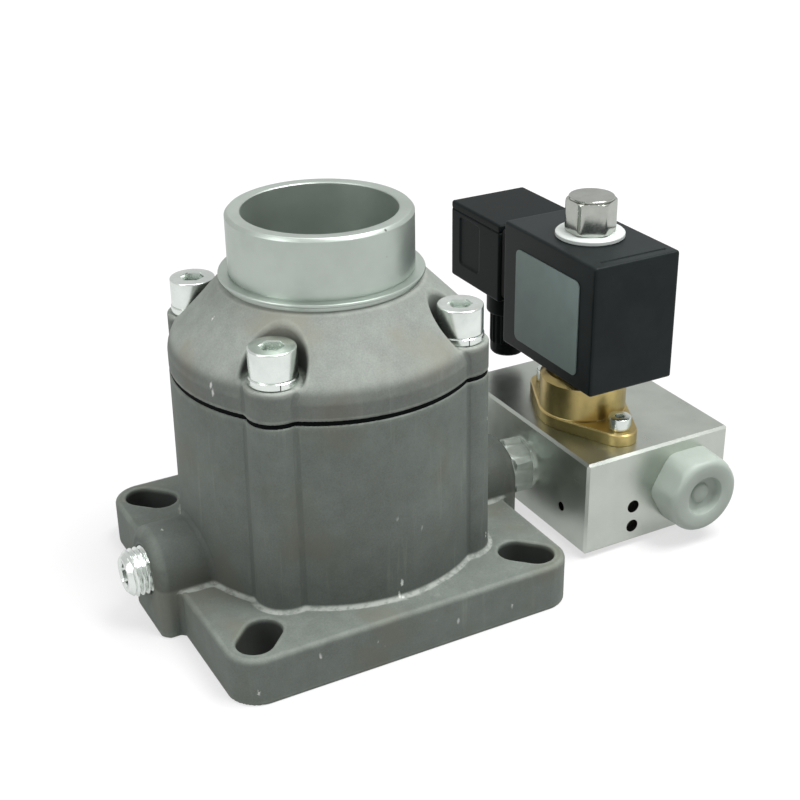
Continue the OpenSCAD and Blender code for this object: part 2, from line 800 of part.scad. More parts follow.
// The brass base with its two-bolt flange
module solenoid_base() {
    c = 1.4;
    body_h = brass_h - 3.4;
    color([0.66, 0.55, 0.27]) translate([sx, sy, block_top]) difference() {
        union() {
            linear_extrude(flange_t) hull() {
                circle(r = brass_r);
                for (side = [-1, 1]) translate([0, side * flange_screw_y]) circle(r = flange_end_r, $fn = 64);
            }
            cylinder(r = brass_r - 0.4, h = body_h - c);
            translate([0, 0, body_h - c]) cylinder(r1 = brass_r - 0.4, r2 = brass_r - 0.4 - c, h = c);
            cylinder(r = brass_r - 3.5, h = brass_h);
        }
        translate([0, 0, tube_seat - block_top]) cylinder(r = tube_flange_r + set_fit, h = brass_h);
        difference() {
            translate([0, 0, flange_t]) cylinder(r = 7, h = brass_h);
            cylinder(r1 = 3.4, r2 = 2.2, h = nozzle_top - block_top);
        }
        translate([0, 0, -eps]) cylinder(r = 1.2, h = brass_h, $fn = small_fn);
        translate([side_way_x, 0, -eps]) cylinder(r = 1.2, h = flange_t + 2 * eps, $fn = small_fn);
        translate([0, 0, -eps]) ring(oring_r + 1.2, oring_r - 1.2, 2 * oring_wire_r + 0.1 + eps);
        for (side = [-1, 1]) translate([0, side * flange_screw_y, -eps])
            cylinder(r = flange_screw_r + 0.3, h = brass_h, $fn = small_fn);
    }
}

// The ring seal under the brass base
module base_oring() {
    color([0.06, 0.06, 0.06]) translate([sx, sy, block_top + oring_wire_r + set_fit]) rotate_extrude()
        translate([oring_r, 0]) circle(r = oring_wire_r, $fn = 24);
}

// The two screws of the brass flange
module base_screws() {
    r = flange_screw_r;
    color([0.85, 0.88, 0.88]) for (side = [-1, 1])
        translate([sx, sy + side * flange_screw_y, valve_floor])
            cap_screw(1.75 * r, 2 * r, r, flange_t + flange_reach, 1.5 * r);
}

// The armature tube with the fixed core and the stud for the nut
module armature_tube() {
    stud_z = coil_top - 1.8;
    color([0.75, 0.76, 0.77]) translate([sx, sy, 0]) difference() {
        union() {
            translate([0, 0, tube_seat]) cylinder(r = tube_flange_r, h = tube_flange_t);
            translate([0, 0, tube_seat]) cylinder(r = tube_r, h = stud_z - tube_seat);
            translate([0, 0, stud_z - 1]) cylinder(r = stud_r, h = nut_z + nut_h - 2.5 - stud_z);
        }
        translate([0, 0, tube_seat - eps]) cylinder(r = plunger_r + run_fit, h = core_z - tube_seat + eps);
    }
}

// The plunger with pockets for its seal and its spring
module plunger() {
    r = plunger_r;
    color([0.7, 0.71, 0.73]) translate([sx, sy, 0]) difference() {
        translate([0, 0, plunger_z + 0.4]) cylinder(r = r, h = plunger_top - plunger_z - 0.4);
        translate([0, 0, plunger_z - eps]) cylinder(r = r - 1.5, h = seal_t + set_fit + eps);
        translate([0, 0, plunger_top - plunger_spring_depth]) cylinder(r = 2.8, h = plunger_spring_depth + eps);
    }
}

// The rubber disc that closes the nozzle
module plunger_seal() {
    color([0.1, 0.1, 0.1]) translate([sx, sy, plunger_z]) cylinder(r = plunger_r - 1.5 - set_fit, h = seal_t);
}

// The plunger's spring
module plunger_spring() {
    z = plunger_top - plunger_spring_depth + set_fit;
    color([0.6, 0.62, 0.65]) translate([sx, sy, z])
        coil_spring(2.3, 0.6, 7, core_z - z - set_fit, 12, 6);
}

// The moulded coil with the socket of its connector
module coil() {
    edge = 1.2;
    socket_w = plug_w - 3;
    socket_h = plug_h - 3;
    color([0.12, 0.13, 0.14]) difference() {
        union() {
            translate([sx, sy, coil_z]) linear_extrude(coil_h) soft_rect(coil_w, coil_l, edge);
            translate([sx - socket_w / 2, coil_back - 1, plug_z + 1.5]) cube([socket_w, socket_t + 1, socket_h]);
        }
        translate([sx, sy, coil_z - eps]) cylinder(r = tube_r + 0.15, h = coil_h + 2 * eps);
        translate([sx - coil_w / 2 + 6.5, sy - coil_l / 2 + 7, coil_top - 0.6]) cube([coil_w, 0.8, 0.6 + eps]);
    }
}

// The bare plate on the coil's side
module coil_label() {
    color([0.5, 0.56, 0.55]) translate([sx - coil_w / 2, sy, coil_z + label_rise]) rotate([90, 0, -90])
        linear_extrude(label_t) soft_rect(label_w, label_h, label_r);
}

// The white washer under the coil nut
module coil_washer() {
    color([0.9, 0.93, 0.92]) translate([sx, sy, coil_top]) ring(coil_washer_r, stud_r + 0.3, coil_washer_t);
}

// The closed nut that holds the coil
module coil_nut() {
    corner = nut_flats / sqrt(3);
    crown = 1.5;
    foot = 0.9;
    color([0.75, 0.76, 0.76]) translate([sx, sy, nut_z]) difference() {
        intersection() {
            hexagon(nut_flats, nut_h);
            rotate_extrude() polygon([[0, 0], [corner - foot, 0], [corner, foot], [corner, nut_h - crown],
                [nut_flats / 2, nut_h], [0, nut_h]]);
        }
        translate([0, 0, -eps]) cylinder(r = stud_r + set_fit, h = nut_h - 2 + eps);
    }
}

// The flat seal between coil and connector
module connector_gasket() {
    color([0.07, 0.07, 0.07]) translate([sx, coil_back + socket_t, plug_z + plug_h / 2]) rotate([-90, 0, 0])
        linear_extrude(connector_seal_t) difference() {
            soft_rect(plug_w - 2, plug_h - 2, 2);
            square([plug_w / 2, plug_h / 2], center = true);
        }
}

// The connector housing with the collar of its cable gland
module connector_housing() {
    wall = 2.5;
    edge = 1.2;
    color([0.11, 0.12, 0.13]) difference() {
        union() {
            translate([sx, plug_y + plug_l / 2, plug_z]) linear_extrude(plug_h) soft_rect(plug_w, plug_l, edge);
            translate([sx, gland_y, gland_z]) cylinder(r = collar_r, h = collar_h + 1);
        }
        translate([sx - plug_w / 2 + wall, plug_y - eps, plug_z + wall])
            cube([plug_w - 2 * wall, plug_l - 2 * wall + eps, plug_h - 2 * wall]);
        translate([sx, gland_y, gland_z - eps]) cylinder(r = gland_r - 1.2, h = collar_h + wall + 2 * eps);
        translate([sx, plug_y + plug_l - 2 * wall - eps, plug_z + plug_h / 2]) rotate([-90, 0, 0]) {
            cylinder(r = connector_screw_r + 0.1, h = 3 * wall + eps, $fn = small_fn);
            translate([0, 0, 2 * wall - 0.6])
                cylinder(r = 2 * connector_screw_r + 0.2, h = wall + eps, $fn = small_fn);
        }
    }
}

// The screw that holds the connector on the coil
module connector_screw() {
    head_y = plug_y + plug_l + eps - connector_head_t;
    r = connector_screw_r;
    t = connector_head_t;
    color([0.8, 0.82, 0.82]) translate([sx, head_y, plug_z + plug_h / 2]) rotate([-90, 0, 0]) difference() {
        union() {
            cylinder(r = 2 * r, h = t, $fn = small_fn);
            translate([0, 0, -connector_screw_l]) cylinder(r = r, h = connector_screw_l + t / 2, $fn = small_fn);
        }
        translate([-3 * r, -t / 4, t / 2]) cube([6 * r, t / 2, t]);
    }
}

// The gland nut that points down
module gland_nut() {
    inner = gland_r - 2;
    color([0.1, 0.1, 0.11]) translate([sx, gland_y, gland_z - gland_nut_h]) difference() {
        union() {
            translate([0, 0, 1.2]) cylinder(r = gland_r, h = gland_nut_h - 1.2);
            cylinder(r1 = gland_r - 1.2, r2 = gland_r, h = 1.2);
        }
        translate([0, 0, -eps]) cylinder(r = inner - 0.8, h = gland_nut_h + 2 * eps);
        translate([0, 0, gland_floor]) cylinder(r = inner, h = gland_nut_h);
    }
}

// The rubber sleeve in the gland
module gland_seal() {
    inner = gland_r - 2;
    color([0.06, 0.06, 0.06]) translate([sx, gland_y, gland_z - gland_nut_h + gland_floor + set_fit])
        ring(inner - set_fit, 1.8, gland_nut_h - gland_floor - 2);
}

valve_body();
inlet_cover();
cover_gasket();
cover_screws();
cover_lock_washers();
valve_disc();
disc_seal();
valve_stem();
stem_nuts();
piston();
piston_seal();
return_spring();
cylinder_cap();
guide_bush();
retaining_ring();
port_plug();
hex_nipple();
nipple_washers();
manifold_block();
port_cap();
solenoid_base();
base_oring();
base_screws();
armature_tube();
plunger();
plunger_seal();
plunger_spring();
coil();
coil_label();
coil_washer();
coil_nut();
connector_gasket();
connector_housing();
connector_screw();
gland_nut();
gland_seal();
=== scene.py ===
import logging
import math
from dataclasses import dataclass
from enum import Enum
from typing import Any, Callable, Optional, Union

import bmesh
import bpy
import numpy as np
from mathutils import Matrix, Vector


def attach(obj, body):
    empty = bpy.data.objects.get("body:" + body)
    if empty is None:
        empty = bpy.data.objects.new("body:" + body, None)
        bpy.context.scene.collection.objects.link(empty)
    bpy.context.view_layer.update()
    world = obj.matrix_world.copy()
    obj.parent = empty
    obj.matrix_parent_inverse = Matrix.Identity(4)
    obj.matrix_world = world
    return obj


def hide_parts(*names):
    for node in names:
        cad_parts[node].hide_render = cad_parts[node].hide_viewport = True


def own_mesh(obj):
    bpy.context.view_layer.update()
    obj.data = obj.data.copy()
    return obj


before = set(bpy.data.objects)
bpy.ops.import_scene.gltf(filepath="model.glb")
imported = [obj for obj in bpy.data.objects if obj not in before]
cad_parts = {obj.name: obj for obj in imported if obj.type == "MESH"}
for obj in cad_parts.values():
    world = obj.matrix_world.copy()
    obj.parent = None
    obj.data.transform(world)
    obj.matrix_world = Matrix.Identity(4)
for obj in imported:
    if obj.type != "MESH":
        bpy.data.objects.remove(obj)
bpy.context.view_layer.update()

log = logging.getLogger("intake_valve")
logging.basicConfig(level=logging.INFO, format="%(name)s: %(message)s")

Array = np.ndarray
Pair = tuple[Array, Array]
Surface = Pair
Rgb = tuple[float, float, float]
Point = tuple[float, float, float]
Material, Socket, Thing = bpy.types.Material, bpy.types.NodeSocket, bpy.types.Object
Value = Union["Link", float, tuple, Socket]

MM = 0.001
SCREW_ANGLES = np.radians([45.0, 135.0, 225.0, 315.0])
SOLENOID_X, SOLENOID_Y = 86.0, -6.5
CONNECTOR_Y = 38.0


# ---------------------------------------------------------------- shader maths


class Link:
    """A shader socket that takes part in Python arithmetic."""

    def __init__(self, graph: "Graph", socket: Socket) -> None:
        """Wraps one output socket of a graph."""
        self.graph, self.socket = graph, socket

    def __add__(self, other: Value) -> "Link":
        """self + other."""
        return self.graph.math("ADD", self, other)

    __radd__ = __add__

    def __sub__(self, other: Value) -> "Link":
        """self - other."""
        return self.graph.math("SUBTRACT", self, other)

    def __rsub__(self, other: Value) -> "Link":
        """other - self."""
        return self.graph.math("SUBTRACT", other, self)

    def __mul__(self, other: Value) -> "Link":
        """self * other."""
        return self.graph.math("MULTIPLY", self, other)

    __rmul__ = __mul__

    def above(self, low: float, high: float) -> "Link":
        """Smooth step: 0 below low, 1 above high."""
        return self.graph.step(self, low, high)

    def size(self) -> "Link":
        """Its absolute value."""
        return self.graph.math("ABSOLUTE", self)

    def most(self, other: Value) -> "Link":
        """The larger of the two."""
        return self.graph.math("MAXIMUM", self, other)

    def with_leg(self, other: Value) -> "Link":
        """The long side of a right triangle with these two legs."""
        return self.graph.math("SQRT", self * self + other * other)


class Graph:
    """A material's node tree, with short ways to add nodes."""

    def __init__(self, name: str) -> None:
        """Makes the material with its output and its Principled shader."""
        self.material = bpy.data.materials.new(name)
        self.material.use_nodes = True
        self.tree = self.material.node_tree
        self.tree.nodes.clear()
        self.output = self.tree.nodes.new("ShaderNodeOutputMaterial")
        self.shader = self.tree.nodes.new("ShaderNodeBsdfPrincipled")
        self.tree.links.new(self.shader.outputs[0], self.output.inputs[0])

    def feed(self, socket: Socket, value: Value) -> None:
        """Sets a socket to a value, or links it.

        Args:
            socket: The input.
            value: A number, a colour, a Link or an output socket.
        """
        if isinstance(value, Link):
            self.tree.links.new(value.socket, socket)
        elif isinstance(value, Socket):
            self.tree.links.new(value, socket)
        else:
            socket.default_value = value

    def add(self, kind: str, settings: Optional[dict[str, Any]] = None,
            inputs: Optional[dict[Any, Value]] = None, output: Any = 0) -> Link:
        """Adds any node.

        Args:
            kind: The node's type name.
            settings: Attributes that are set before its sockets.
            inputs: Values or links of its sockets, by name or number.
            output: The output that is handed back.

        Returns:
            The chosen output as a Link.
        """
        node = self.tree.nodes.new(kind)
        for key, value in (settings or {}).items():
            setattr(node, key, value)
        for key, value in (inputs or {}).items():
            self.feed(node.inputs[key], value)
        return Link(self, node.outputs[output])

    def math(self, operation: str, *values: Value) -> Link:
        """One Math node on up to three values."""
        return self.add("ShaderNodeMath", {"operation": operation}, dict(enumerate(values)))

    def step(self, value: Value, low: float, high: float) -> Link:
        """Maps low..high to 0..1 with a smooth start and end."""
        return self.add("ShaderNodeMapRange", {"interpolation_type": "SMOOTHSTEP"},
                        {"Value": value, "From Min": low, "From Max": high})

    def place(self, centre_mm: tuple = (0, 0, 0), stretch: tuple = (1, 1, 1)) -> Link:
        """Object coordinates about a centre, stretched along the axes.

        Args:
            centre_mm: The pattern's origin.
            stretch: Factors on the three coordinates.

        Returns:
            The vector.
        """
        coordinates = self.add("ShaderNodeTexCoord", output="Object")
        shift = tuple(-c * MM * s for c, s in zip(centre_mm, stretch))
        return self.add("ShaderNodeMapping", {}, {"Vector": coordinates, "Location": shift, "Scale": stretch})

    def split(self, vector: Link) -> tuple[Link, Link, Link]:
        """The three parts of a vector.

        Args:
            vector: What is taken apart.

        Returns:
            Its x, y and z.
        """
        node = self.tree.nodes.new("ShaderNodeSeparateXYZ")
        self.feed(node.inputs[0], vector)
        return tuple(Link(self, o) for o in node.outputs)

    def spot(self, centre_mm: tuple) -> Link:
        """Distance to a point.

        Args:
            centre_mm: The point.

        Returns:
            The distance in millimetres.
        """
        away = self.add("ShaderNodeVectorMath", {"operation": "DISTANCE"},
                        {0: self.place(), 1: tuple(c * MM for c in centre_mm)}, "Value")
        return away * (1 / MM)

    def cells(self, vector: Value, scale: float) -> tuple[Link, Link]:
        """Voronoi cells.

        Args:
            vector: The coordinates.
            scale: Cells in a metre.

        Returns:
            The distance to the nearest point, and a number between 0 and 1 for each cell.
        """
        node = self.tree.nodes.new("ShaderNodeTexVoronoi")
        node.inputs["Scale"].default_value = scale
        self.feed(node.inputs["Vector"], vector)
        return Link(self, node.outputs["Distance"]), self.split(Link(self, node.outputs["Color"]))[0]

    def noise(self, vector: Value, scale: float, detail: float = 2.0, roughness: float = 0.5) -> Link:
        """Noise between 0 and 1, with its mean near 0.5."""
        return self.add("ShaderNodeTexNoise", {}, {"Vector": vector, "Scale": scale, "Detail": detail,
                                                   "Roughness": roughness})

    def mix(self, share: Value, first: Value, second: Value, mode: str = "MIX") -> Link:
        """Mixes two colours.

        Args:
            share: How much of the second is taken, from 0 to 1.
            first: The colour at 0.
            second: The colour at 1.
            mode: The way of mixing.

        Returns:
            The mixed colour.
        """
        first, second = (v + (1.0,) if isinstance(v, tuple) and len(v) == 3 else v for v in (first, second))
        return self.add("ShaderNodeMix", {"data_type": "RGBA", "blend_type": mode},
                        {0: share, 6: first, 7: second}, 2)

    def bump(self, height: Value, strength: float, depth_mm: float) -> None:
        """Feeds a height into the shader's normal."""
        self.feed(self.shader.inputs["Normal"],
                  self.add("ShaderNodeBump", {}, {"Strength": strength, "Distance": depth_mm * MM, "Height": height}))

    def finish(self, **sockets: Value) -> Material:
        """Feeds the Principled shader.

        Args:
            **sockets: Values by socket name, with _ for a space.

        Returns:
            The material.
        """
        for key, value in sockets.items():
            socket = self.shader.inputs[key.replace("_", " ")]
            self.feed(socket, value + (1.0,) if socket.type == "RGBA" and isinstance(value, tuple) else value)
        return self.material


class Lay(Enum):
    """The way in which a tool's marks run over a metal face."""

    NONE = (1, 1, 1)
    ALONG_Y = (1, 0.04, 1)
    AROUND_Z = (0, 0, 1)


@dataclass(frozen=True)
class Metal:
    """A bare or plated metal with marks, cloudiness and a fine grain.

    Attributes:
        lay: The way in which the tool's marks run.
        mark_mm: Size of a mark.
        mark_depth: Strength of the marks in the bump.
        cloud: How far the colour wanders, as a share.
        pits: Small holes whose insides get painted shade, each by the centre of its mouth, its radius and its axis.
    """

    name: str
    colour: Rgb
    roughness: float
    lay: Lay = Lay.NONE
    mark_mm: float = 0.35
    mark_depth: float = 0.12
    cloud: float = 0.08
    metallic: float = 1.0
    pits: tuple[tuple[tuple, float, str], ...] = ()

    def shade_holes(self, g: Graph, base: Link) -> Link:
        """Paints shade into small holes, each given by the centre of its mouth, its radius and its axis.

        Args:
            g: The material's graph.
            base: The colour around them.

        Returns:
            The colour with painted shade in the holes.
        """
        for centre, radius, axis in self.pits:
            parts = [p * (1 / MM) - c for p, c in zip(g.split(g.place()), centre)]
            depth = parts.pop("xyz".index(axis))
            near = 1.0 - parts[0].with_leg(parts[1]).above(radius + 0.08, radius + 0.2)
            # Painted shade: each hole's inside is darkened; the mask runs on along the axis, so it also paints dark
            # discs where that axis leaves the piece.
            base = g.mix(near * depth.above(0.1, 0.3) * 0.9, base, (0.035, 0.035, 0.028))
        return base

    def build(self) -> Material:
        """Makes the material: colour with clouds, and marks in roughness and bump.

        Returns:
            The material.
        """
        g = Graph(self.name)
        cloud = g.noise(g.place(), 90.0, 4.0, 0.6)
        marks = g.noise(g.place(stretch=self.lay.value), 1.0 / (self.mark_mm * MM), 3.0, 0.6)
        dark = tuple(c * (1 - 2 * self.cloud) for c in self.colour)
        light = tuple(min(1.0, c * (1 + self.cloud)) for c in self.colour)
        g.bump(marks, self.mark_depth, 0.05)
        return g.finish(Base_Color=self.shade_holes(g, g.mix(cloud.above(0.3, 0.7), dark, light)), Metallic=self.metallic,
                        Roughness=(marks - 0.5) * 0.18 + (cloud - 0.5) * 0.2 + self.roughness)


@dataclass(frozen=True)
class Plastic:
    """A moulded plastic, rubber or resin with a fine grain.

    Attributes:
        grain_mm: Size of a grain.
        grain_depth: Strength of the grain in the bump.
        cloud: How far the colour wanders, as a share.
        glow: Weight of the light that passes under the skin.
        shine: Level of the reflection.
    """

    name: str
    colour: Rgb
    roughness: float
    grain_mm: float = 0.25
    grain_depth: float = 0.12
    cloud: float = 0.12
    glow: float = 0.0
    shine: float = 0.5

    def build(self) -> Material:
        """Makes the material: a mottled colour, a grain in the bump and wiped patches in the roughness.

        Returns:
            The material.
        """
        g = Graph(self.name)
        cloud = g.noise(g.place(), 70.0, 4.0, 0.6)
        grain = g.noise(g.place(), 1.0 / (self.grain_mm * MM), 2.0, 0.5)
        dark = tuple(c * (1 - self.cloud) for c in self.colour)
        light = tuple(min(1.0, c * (1 + self.cloud)) for c in self.colour)
        g.bump(grain, self.grain_depth, 0.05)
        if self.glow:
            g.finish(Subsurface_Weight=self.glow, Subsurface_Scale=0.004, Subsurface_Radius=(1.0, 1.0, 1.0))
        return g.finish(Base_Color=g.mix(cloud.above(0.3, 0.7), dark, light), Specular_IOR_Level=self.shine,
                        Roughness=(cloud - 0.5) * 0.16 + self.roughness)


@dataclass(frozen=True)
class BlastedCasting:
    """Cast aluminium, blasted matt grey: grain, blotches, pale nicks, rubbed edges, pale streaks that are partly
    painted highlight, and painted shade in the slots, round the cover's screws, in creases, towards the drum's foot and
    on the cover's rim.

    Attributes:
        foot_z: Height of the pale line at the drum's foot, from which painted shade fades out upwards.
        slots: Distance of the bolt slots from the axis, whose insides get painted shade; 0 where the piece has none.
        pockets: Height from which the walls round the cover's screws get painted shade.
        streaks: Strength of the pale streaks, which are partly scuffs and partly painted highlight.
        rim: Height below which painted shade darkens the skin, on the cover's vertical rim.
        clusters: Places where small nicks lie close together.
    """

    name: str
    colour: Rgb
    foot_z: float = -50.0
    slots: float = 0.0
    pockets: float = 0.0
    streaks: float = 0.5
    rim: float = -50.0
    clusters: tuple[Point, ...] = ()

    def tint(self, level: float, warm: float = 0.0) -> Rgb:
        """The colour at another level, warmer by a share."""
        return tuple(min(1.0, c * level * k) for c, k in zip(self.colour, (1 + warm, 1, 1 - warm)))

    def painted_hollow_shade(self, g: Graph) -> Link:
        """Where shade is painted: 1 inside the bolt slots and on the walls round the cover screws, 0 elsewhere.

        Both are found on the folded plan, where "along" and "across" run along and across the nearest diagonal.

        Args:
            g: The material's graph.

        Returns:
            The mask of painted shade.
        """
        x, y, z = (v * (1 / MM) for v in g.split(g.place()))
        x, y = x.size(), y.size()
        along, across = (x + y) * (0.5 ** 0.5), (x - y) * (0.5 ** 0.5)
        if self.slots:
            # Painted shade inside the bolt slots.
            edge = ((along - self.slots).size() - 3.0).most(0.0).with_leg(across) - 5.25
            return (1.0 - edge.above(-0.02, 0.5)) * (1.0 - z.above(12.6, 14.0))
        # Painted shade on the walls round the cover's screws.
        near = (along - 39.6).with_leg(across)
        return (1.0 - near.above(8.5, 9.9)) * z.above(self.pockets, self.pockets + 2.0) * (1.0 - z.above(86.0, 93.0))

    def build(self) -> Material:
        """Makes the material; the mesh's own attribute "edge" says how convex the surface is.

        Returns:
            The material.
        """
        g = Graph(self.name)
        p = g.place()
        z = g.split(p)[2]
        broad = g.noise(p, 26.0, 3.0, 0.55)
        blotch = g.noise(p, 170.0, 5.0, 0.65)
        grain = g.noise(p, 2300.0, 3.0, 0.7)
        fine = g.noise(p, 5200.0, 2.0, 0.6)
        tone = (broad - 0.5) * 0.42 + (blotch - 0.5) * 0.55 + (grain - 0.5) * 0.55 + 1.0
        base = g.mix(1.0, self.colour, g.add("ShaderNodeCombineColor", {}, {0: tone, 1: tone, 2: tone}), "MULTIPLY")
        warm = g.noise(g.place((40, 10, 5)), 48.0, 3.0)
        base = g.mix(warm.above(0.5, 0.68) * 0.6, base, self.tint(0.86, 0.12))
        edge = g.add("ShaderNodeAttribute", {"attribute_name": "edge"}, output="Fac")
        pale = self.tint(1.9, 0.03)
        rub = edge.above(0.2, 0.75) * (blotch.above(0.3, 0.7) * 0.6 + 0.4)
        foot = z.above((self.foot_z - 0.5) * MM, (self.foot_z - 0.1) * MM) * (
            1.0 - z.above((self.foot_z + 0.3) * MM, (self.foot_z + 1.1) * MM))
        line = foot * (0.0 - edge).above(0.12, 0.5) * (g.noise(p, 420.0, 4.0, 0.6).above(0.36, 0.56) * 0.65 + 0.35)
        # Painted shade: the drum is darkened towards its foot, fading out 34 mm above it.
        low = z.above((self.foot_z + 0.3) * MM, (self.foot_z + 1.5) * MM) * (
            1.0 - z.above(self.foot_z * MM, (self.foot_z + 34) * MM))
        base = g.mix(low * 0.38, base, (0.0, 0.0, 0.0))
        # Painted shade: concave creases, away from the foot's line, are darkened.
        crease = (0.0 - edge).above(0.15, 0.6) * (1.0 - foot)
        base = g.mix(crease * (blotch.above(0.3, 0.6) * 0.2 + 0.1), base, self.tint(0.3))
        # Painted shade: the cover's vertical rim, below rim, is darkened.
        base = g.mix((1.0 - z.above((self.rim - 1.0) * MM, (self.rim + 1.5) * MM)) * 0.36, base, (0.0, 0.0, 0.0))
        base = g.mix(rub * 0.22, base, pale)
        base = g.mix(line * 0.8, base, (0.46, 0.49, 0.45))
        # Pale vertical streaks: partly scuffs, partly painted highlight.
        run = g.noise(g.place(stretch=(1, 1, 0.07)), 460.0, 3.0, 0.6).above(0.57, 0.74)
        base = g.mix(run * broad.above(0.42, 0.6) * (0.42 * self.streaks), base, pale)
        near, chance = g.cells(g.place(stretch=(1, 1, 0.55)), 150.0)
        ragged = (g.noise(p, 1500.0, 3.0) - 0.5) * 0.26
        nick = (1.0 - (near + ragged).above(0.02, 0.08)) * chance.above(0.86, 0.88)
        near, chance = g.cells(g.place(stretch=(1, 1, 0.4)), 420.0)
        for cluster in self.clusters:
            dense = 1.0 - g.spot(cluster).above(2.0, 7.0)
            chip = (1.0 - (near + ragged).above(0.1, 0.26)) * chance.above(0.5, 0.54)
            nick = nick.most(chip * dense.above(0.2, 0.5))
        base = g.mix(nick * 0.9, base, (0.78, 0.8, 0.76))
        # Painted shade: the slots and the walls round the cover's screws are darkened nearly to black.
        base = g.mix(self.painted_hollow_shade(g) * (0.8 if self.slots else 0.96), base, self.tint(0.08))
        g.bump(grain * 0.65 + fine * 0.35 + blotch * 0.7 - nick * 0.4, 0.5, 0.09)
        return g.finish(Base_Color=base, Metallic=0.0, Specular_IOR_Level=0.3,
                        Roughness=0.68 + (blotch - 0.5) * 0.2 - rub * 0.1 - nick * 0.2)


@dataclass(frozen=True)
class SatinNeck:
    """The turned and blasted bright neck: silky, with faint rings and dark pin holes."""

    name: str = "satin_neck"
    colour: Rgb = (0.495, 0.55, 0.505)

    def build(self) -> Material:
        """Makes the material; the rings follow radius and height.

        Returns:
            The material.
        """
        g = Graph(self.name)
        p = g.place()
        x, y, z = g.split(p)
        radius = x.with_leg(y)
        ring_place = g.add("ShaderNodeCombineXYZ", {}, {0: radius, 1: 0.0, 2: z})
        rings = g.noise(ring_place, 2600.0, 3.0, 0.6)
        cloud = g.noise(p, 60.0, 4.0, 0.6)
        fine = g.noise(p, 4200.0, 2.0, 0.6)
        near, chance = g.cells(p, 130.0)
        pin = (1.0 - near.above(0.03, 0.07)) * chance.above(0.86, 0.88)
        dark, light = (tuple(c * k for c in self.colour) for k in (0.93, 1.05))
        base = g.mix(cloud.above(0.3, 0.7), dark, light)
        base = g.mix(pin * 0.8, base, (0.06, 0.06, 0.06))
        g.bump(rings * 0.7 + fine * 0.5 - pin, 0.14, 0.05)
        return g.finish(Base_Color=base, Metallic=0.9,
                        Roughness=0.4 + (cloud - 0.5) * 0.12 + (rings - 0.5) * 0.1)


# ---------------------------------------------------------------- meshes


@dataclass(frozen=True)
class Part:
    """Where a made piece belongs."""

    name: str
    slot: str
    stands_for: tuple[str, ...] = ()
    body: str = "housing"

    def make(self, points: Array, faces: Array, material: Material, crease: float = 28.0,
             weld: bool = True) -> Thing:
        """Puts a surface into the scene.

        Args:
            points: Vertices in millimetres, one row each.
            faces: Vertex numbers, one face a row.
            material: The piece's finish.
            crease: Angle in degrees from which an edge is drawn sharp.
            weld: Whether doubled points, such as poles, are merged.

        Returns:
            The object, riding on its body.
        """
        mesh = bpy.data.meshes.new(self.name)
        mesh.from_pydata(points.reshape(-1, 3) * MM, [], faces.tolist())
        if weld:
            work = bmesh.new()
            work.from_mesh(mesh)
            bmesh.ops.remove_doubles(work, verts=work.verts, dist=2e-6)
            bmesh.ops.recalc_face_normals(work, faces=work.faces)
            work.to_mesh(mesh)
            work.free()
        mesh.polygons.foreach_set("use_smooth", np.ones(len(mesh.polygons), bool))
        mesh.set_sharp_from_angle(angle=math.radians(crease))
        thing = bpy.data.objects.new(self.name, mesh)
        bpy.context.scene.collection.objects.link(thing)
        mesh.materials.append(material)
        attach(thing, self.body)
        if self.stands_for:
            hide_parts(*self.stands_for)
        log.info("%s: %d faces", self.name, len(mesh.polygons))
        return thing


def angles(count: int) -> Array:
    """Evenly spaced angles of a full turn, the last point left out."""
    return np.linspace(0, 2 * math.pi, count, endpoint=False)


def tube_faces(layers: int, around: int, closed: bool = False) -> Array:
    """Quads between neighbouring rings of points, closed round each ring.

    Args:
        layers: Number of rings.
        around: Points in a ring.
        closed: Whether the last ring joins the first.

    Returns:
        The faces, facing outwards where the rings climb and run counter-clockwise.
    """
    i = np.arange(layers if closed else layers - 1)[:, None]
    j = np.arange(around)[None, :]
    k, n = (j + 1) % around, (i + 1) % layers
    return np.stack([i * around + j, i * around + k, n * around + k, n * around + j], -1).reshape(-1, 4)


def close_ends(rings: Array) -> Surface:
    """Closes a tube by drawing both its ends to their middles.

    Args:
        rings: Points of the tube, ring by ring.

    Returns:
        Points and faces.
    """
    ends = np.broadcast_to(rings[[0, -1]].mean(1, keepdims=True), (2, *rings.shape[1:]))
    rings = np.concatenate([ends[:1], rings, ends[1:]])
    return rings, tube_faces(*rings.shape[:2])


def polar(radius: Array, height: Array, closed: bool = False) -> Surface:
    """A surface of rings: point = (r cos a, r sin a, h), with r and h given for each ring and angle.

    Args:
        radius: Radii, rings by angles.
        height: Heights, which may have one column.
        closed: Whether the profile is a closed loop, as a washer's is.

    Returns:
        Points and faces.
    """
    radius, height = np.broadcast_arrays(radius, height)
    a = angles(radius.shape[1])
    points = np.stack([radius * np.cos(a), radius * np.sin(a), height], -1)
    return points, tube_faces(radius.shape[0], radius.shape[1], closed)


def profile(pairs: list[tuple], around: int) -> Pair:
    """Rings from (radius, height) pairs, where a radius may be a number or one value for each angle."""
    radius = np.stack([np.broadcast_to(np.asarray(r, float), around) for r, _ in pairs])
    return radius, np.array([[float(h)] for _, h in pairs])


def hexagon(flats: float, around: int, soft: float = 0.0, turn: float = 0.0) -> Array:
    """Radius of a hexagon by angle: half the flats over the largest of the cosines to its six normals.

    Args:
        flats: Size across the flats.
        around: Number of angles, a multiple of 12 to hit the corners.
        soft: Rounding of the corners, by a power mean instead of the largest cosine.
        turn: Turn in radians.

    Returns:
        One radius for each angle.
    """
    a = angles(around)[:, None] - turn
    c = np.clip(np.cos(a - np.arange(6) * math.pi / 3), 0, None)
    spread = c.max(1) if not soft else (c ** (1 / soft)).sum(1) ** soft
    return flats / 2 / spread


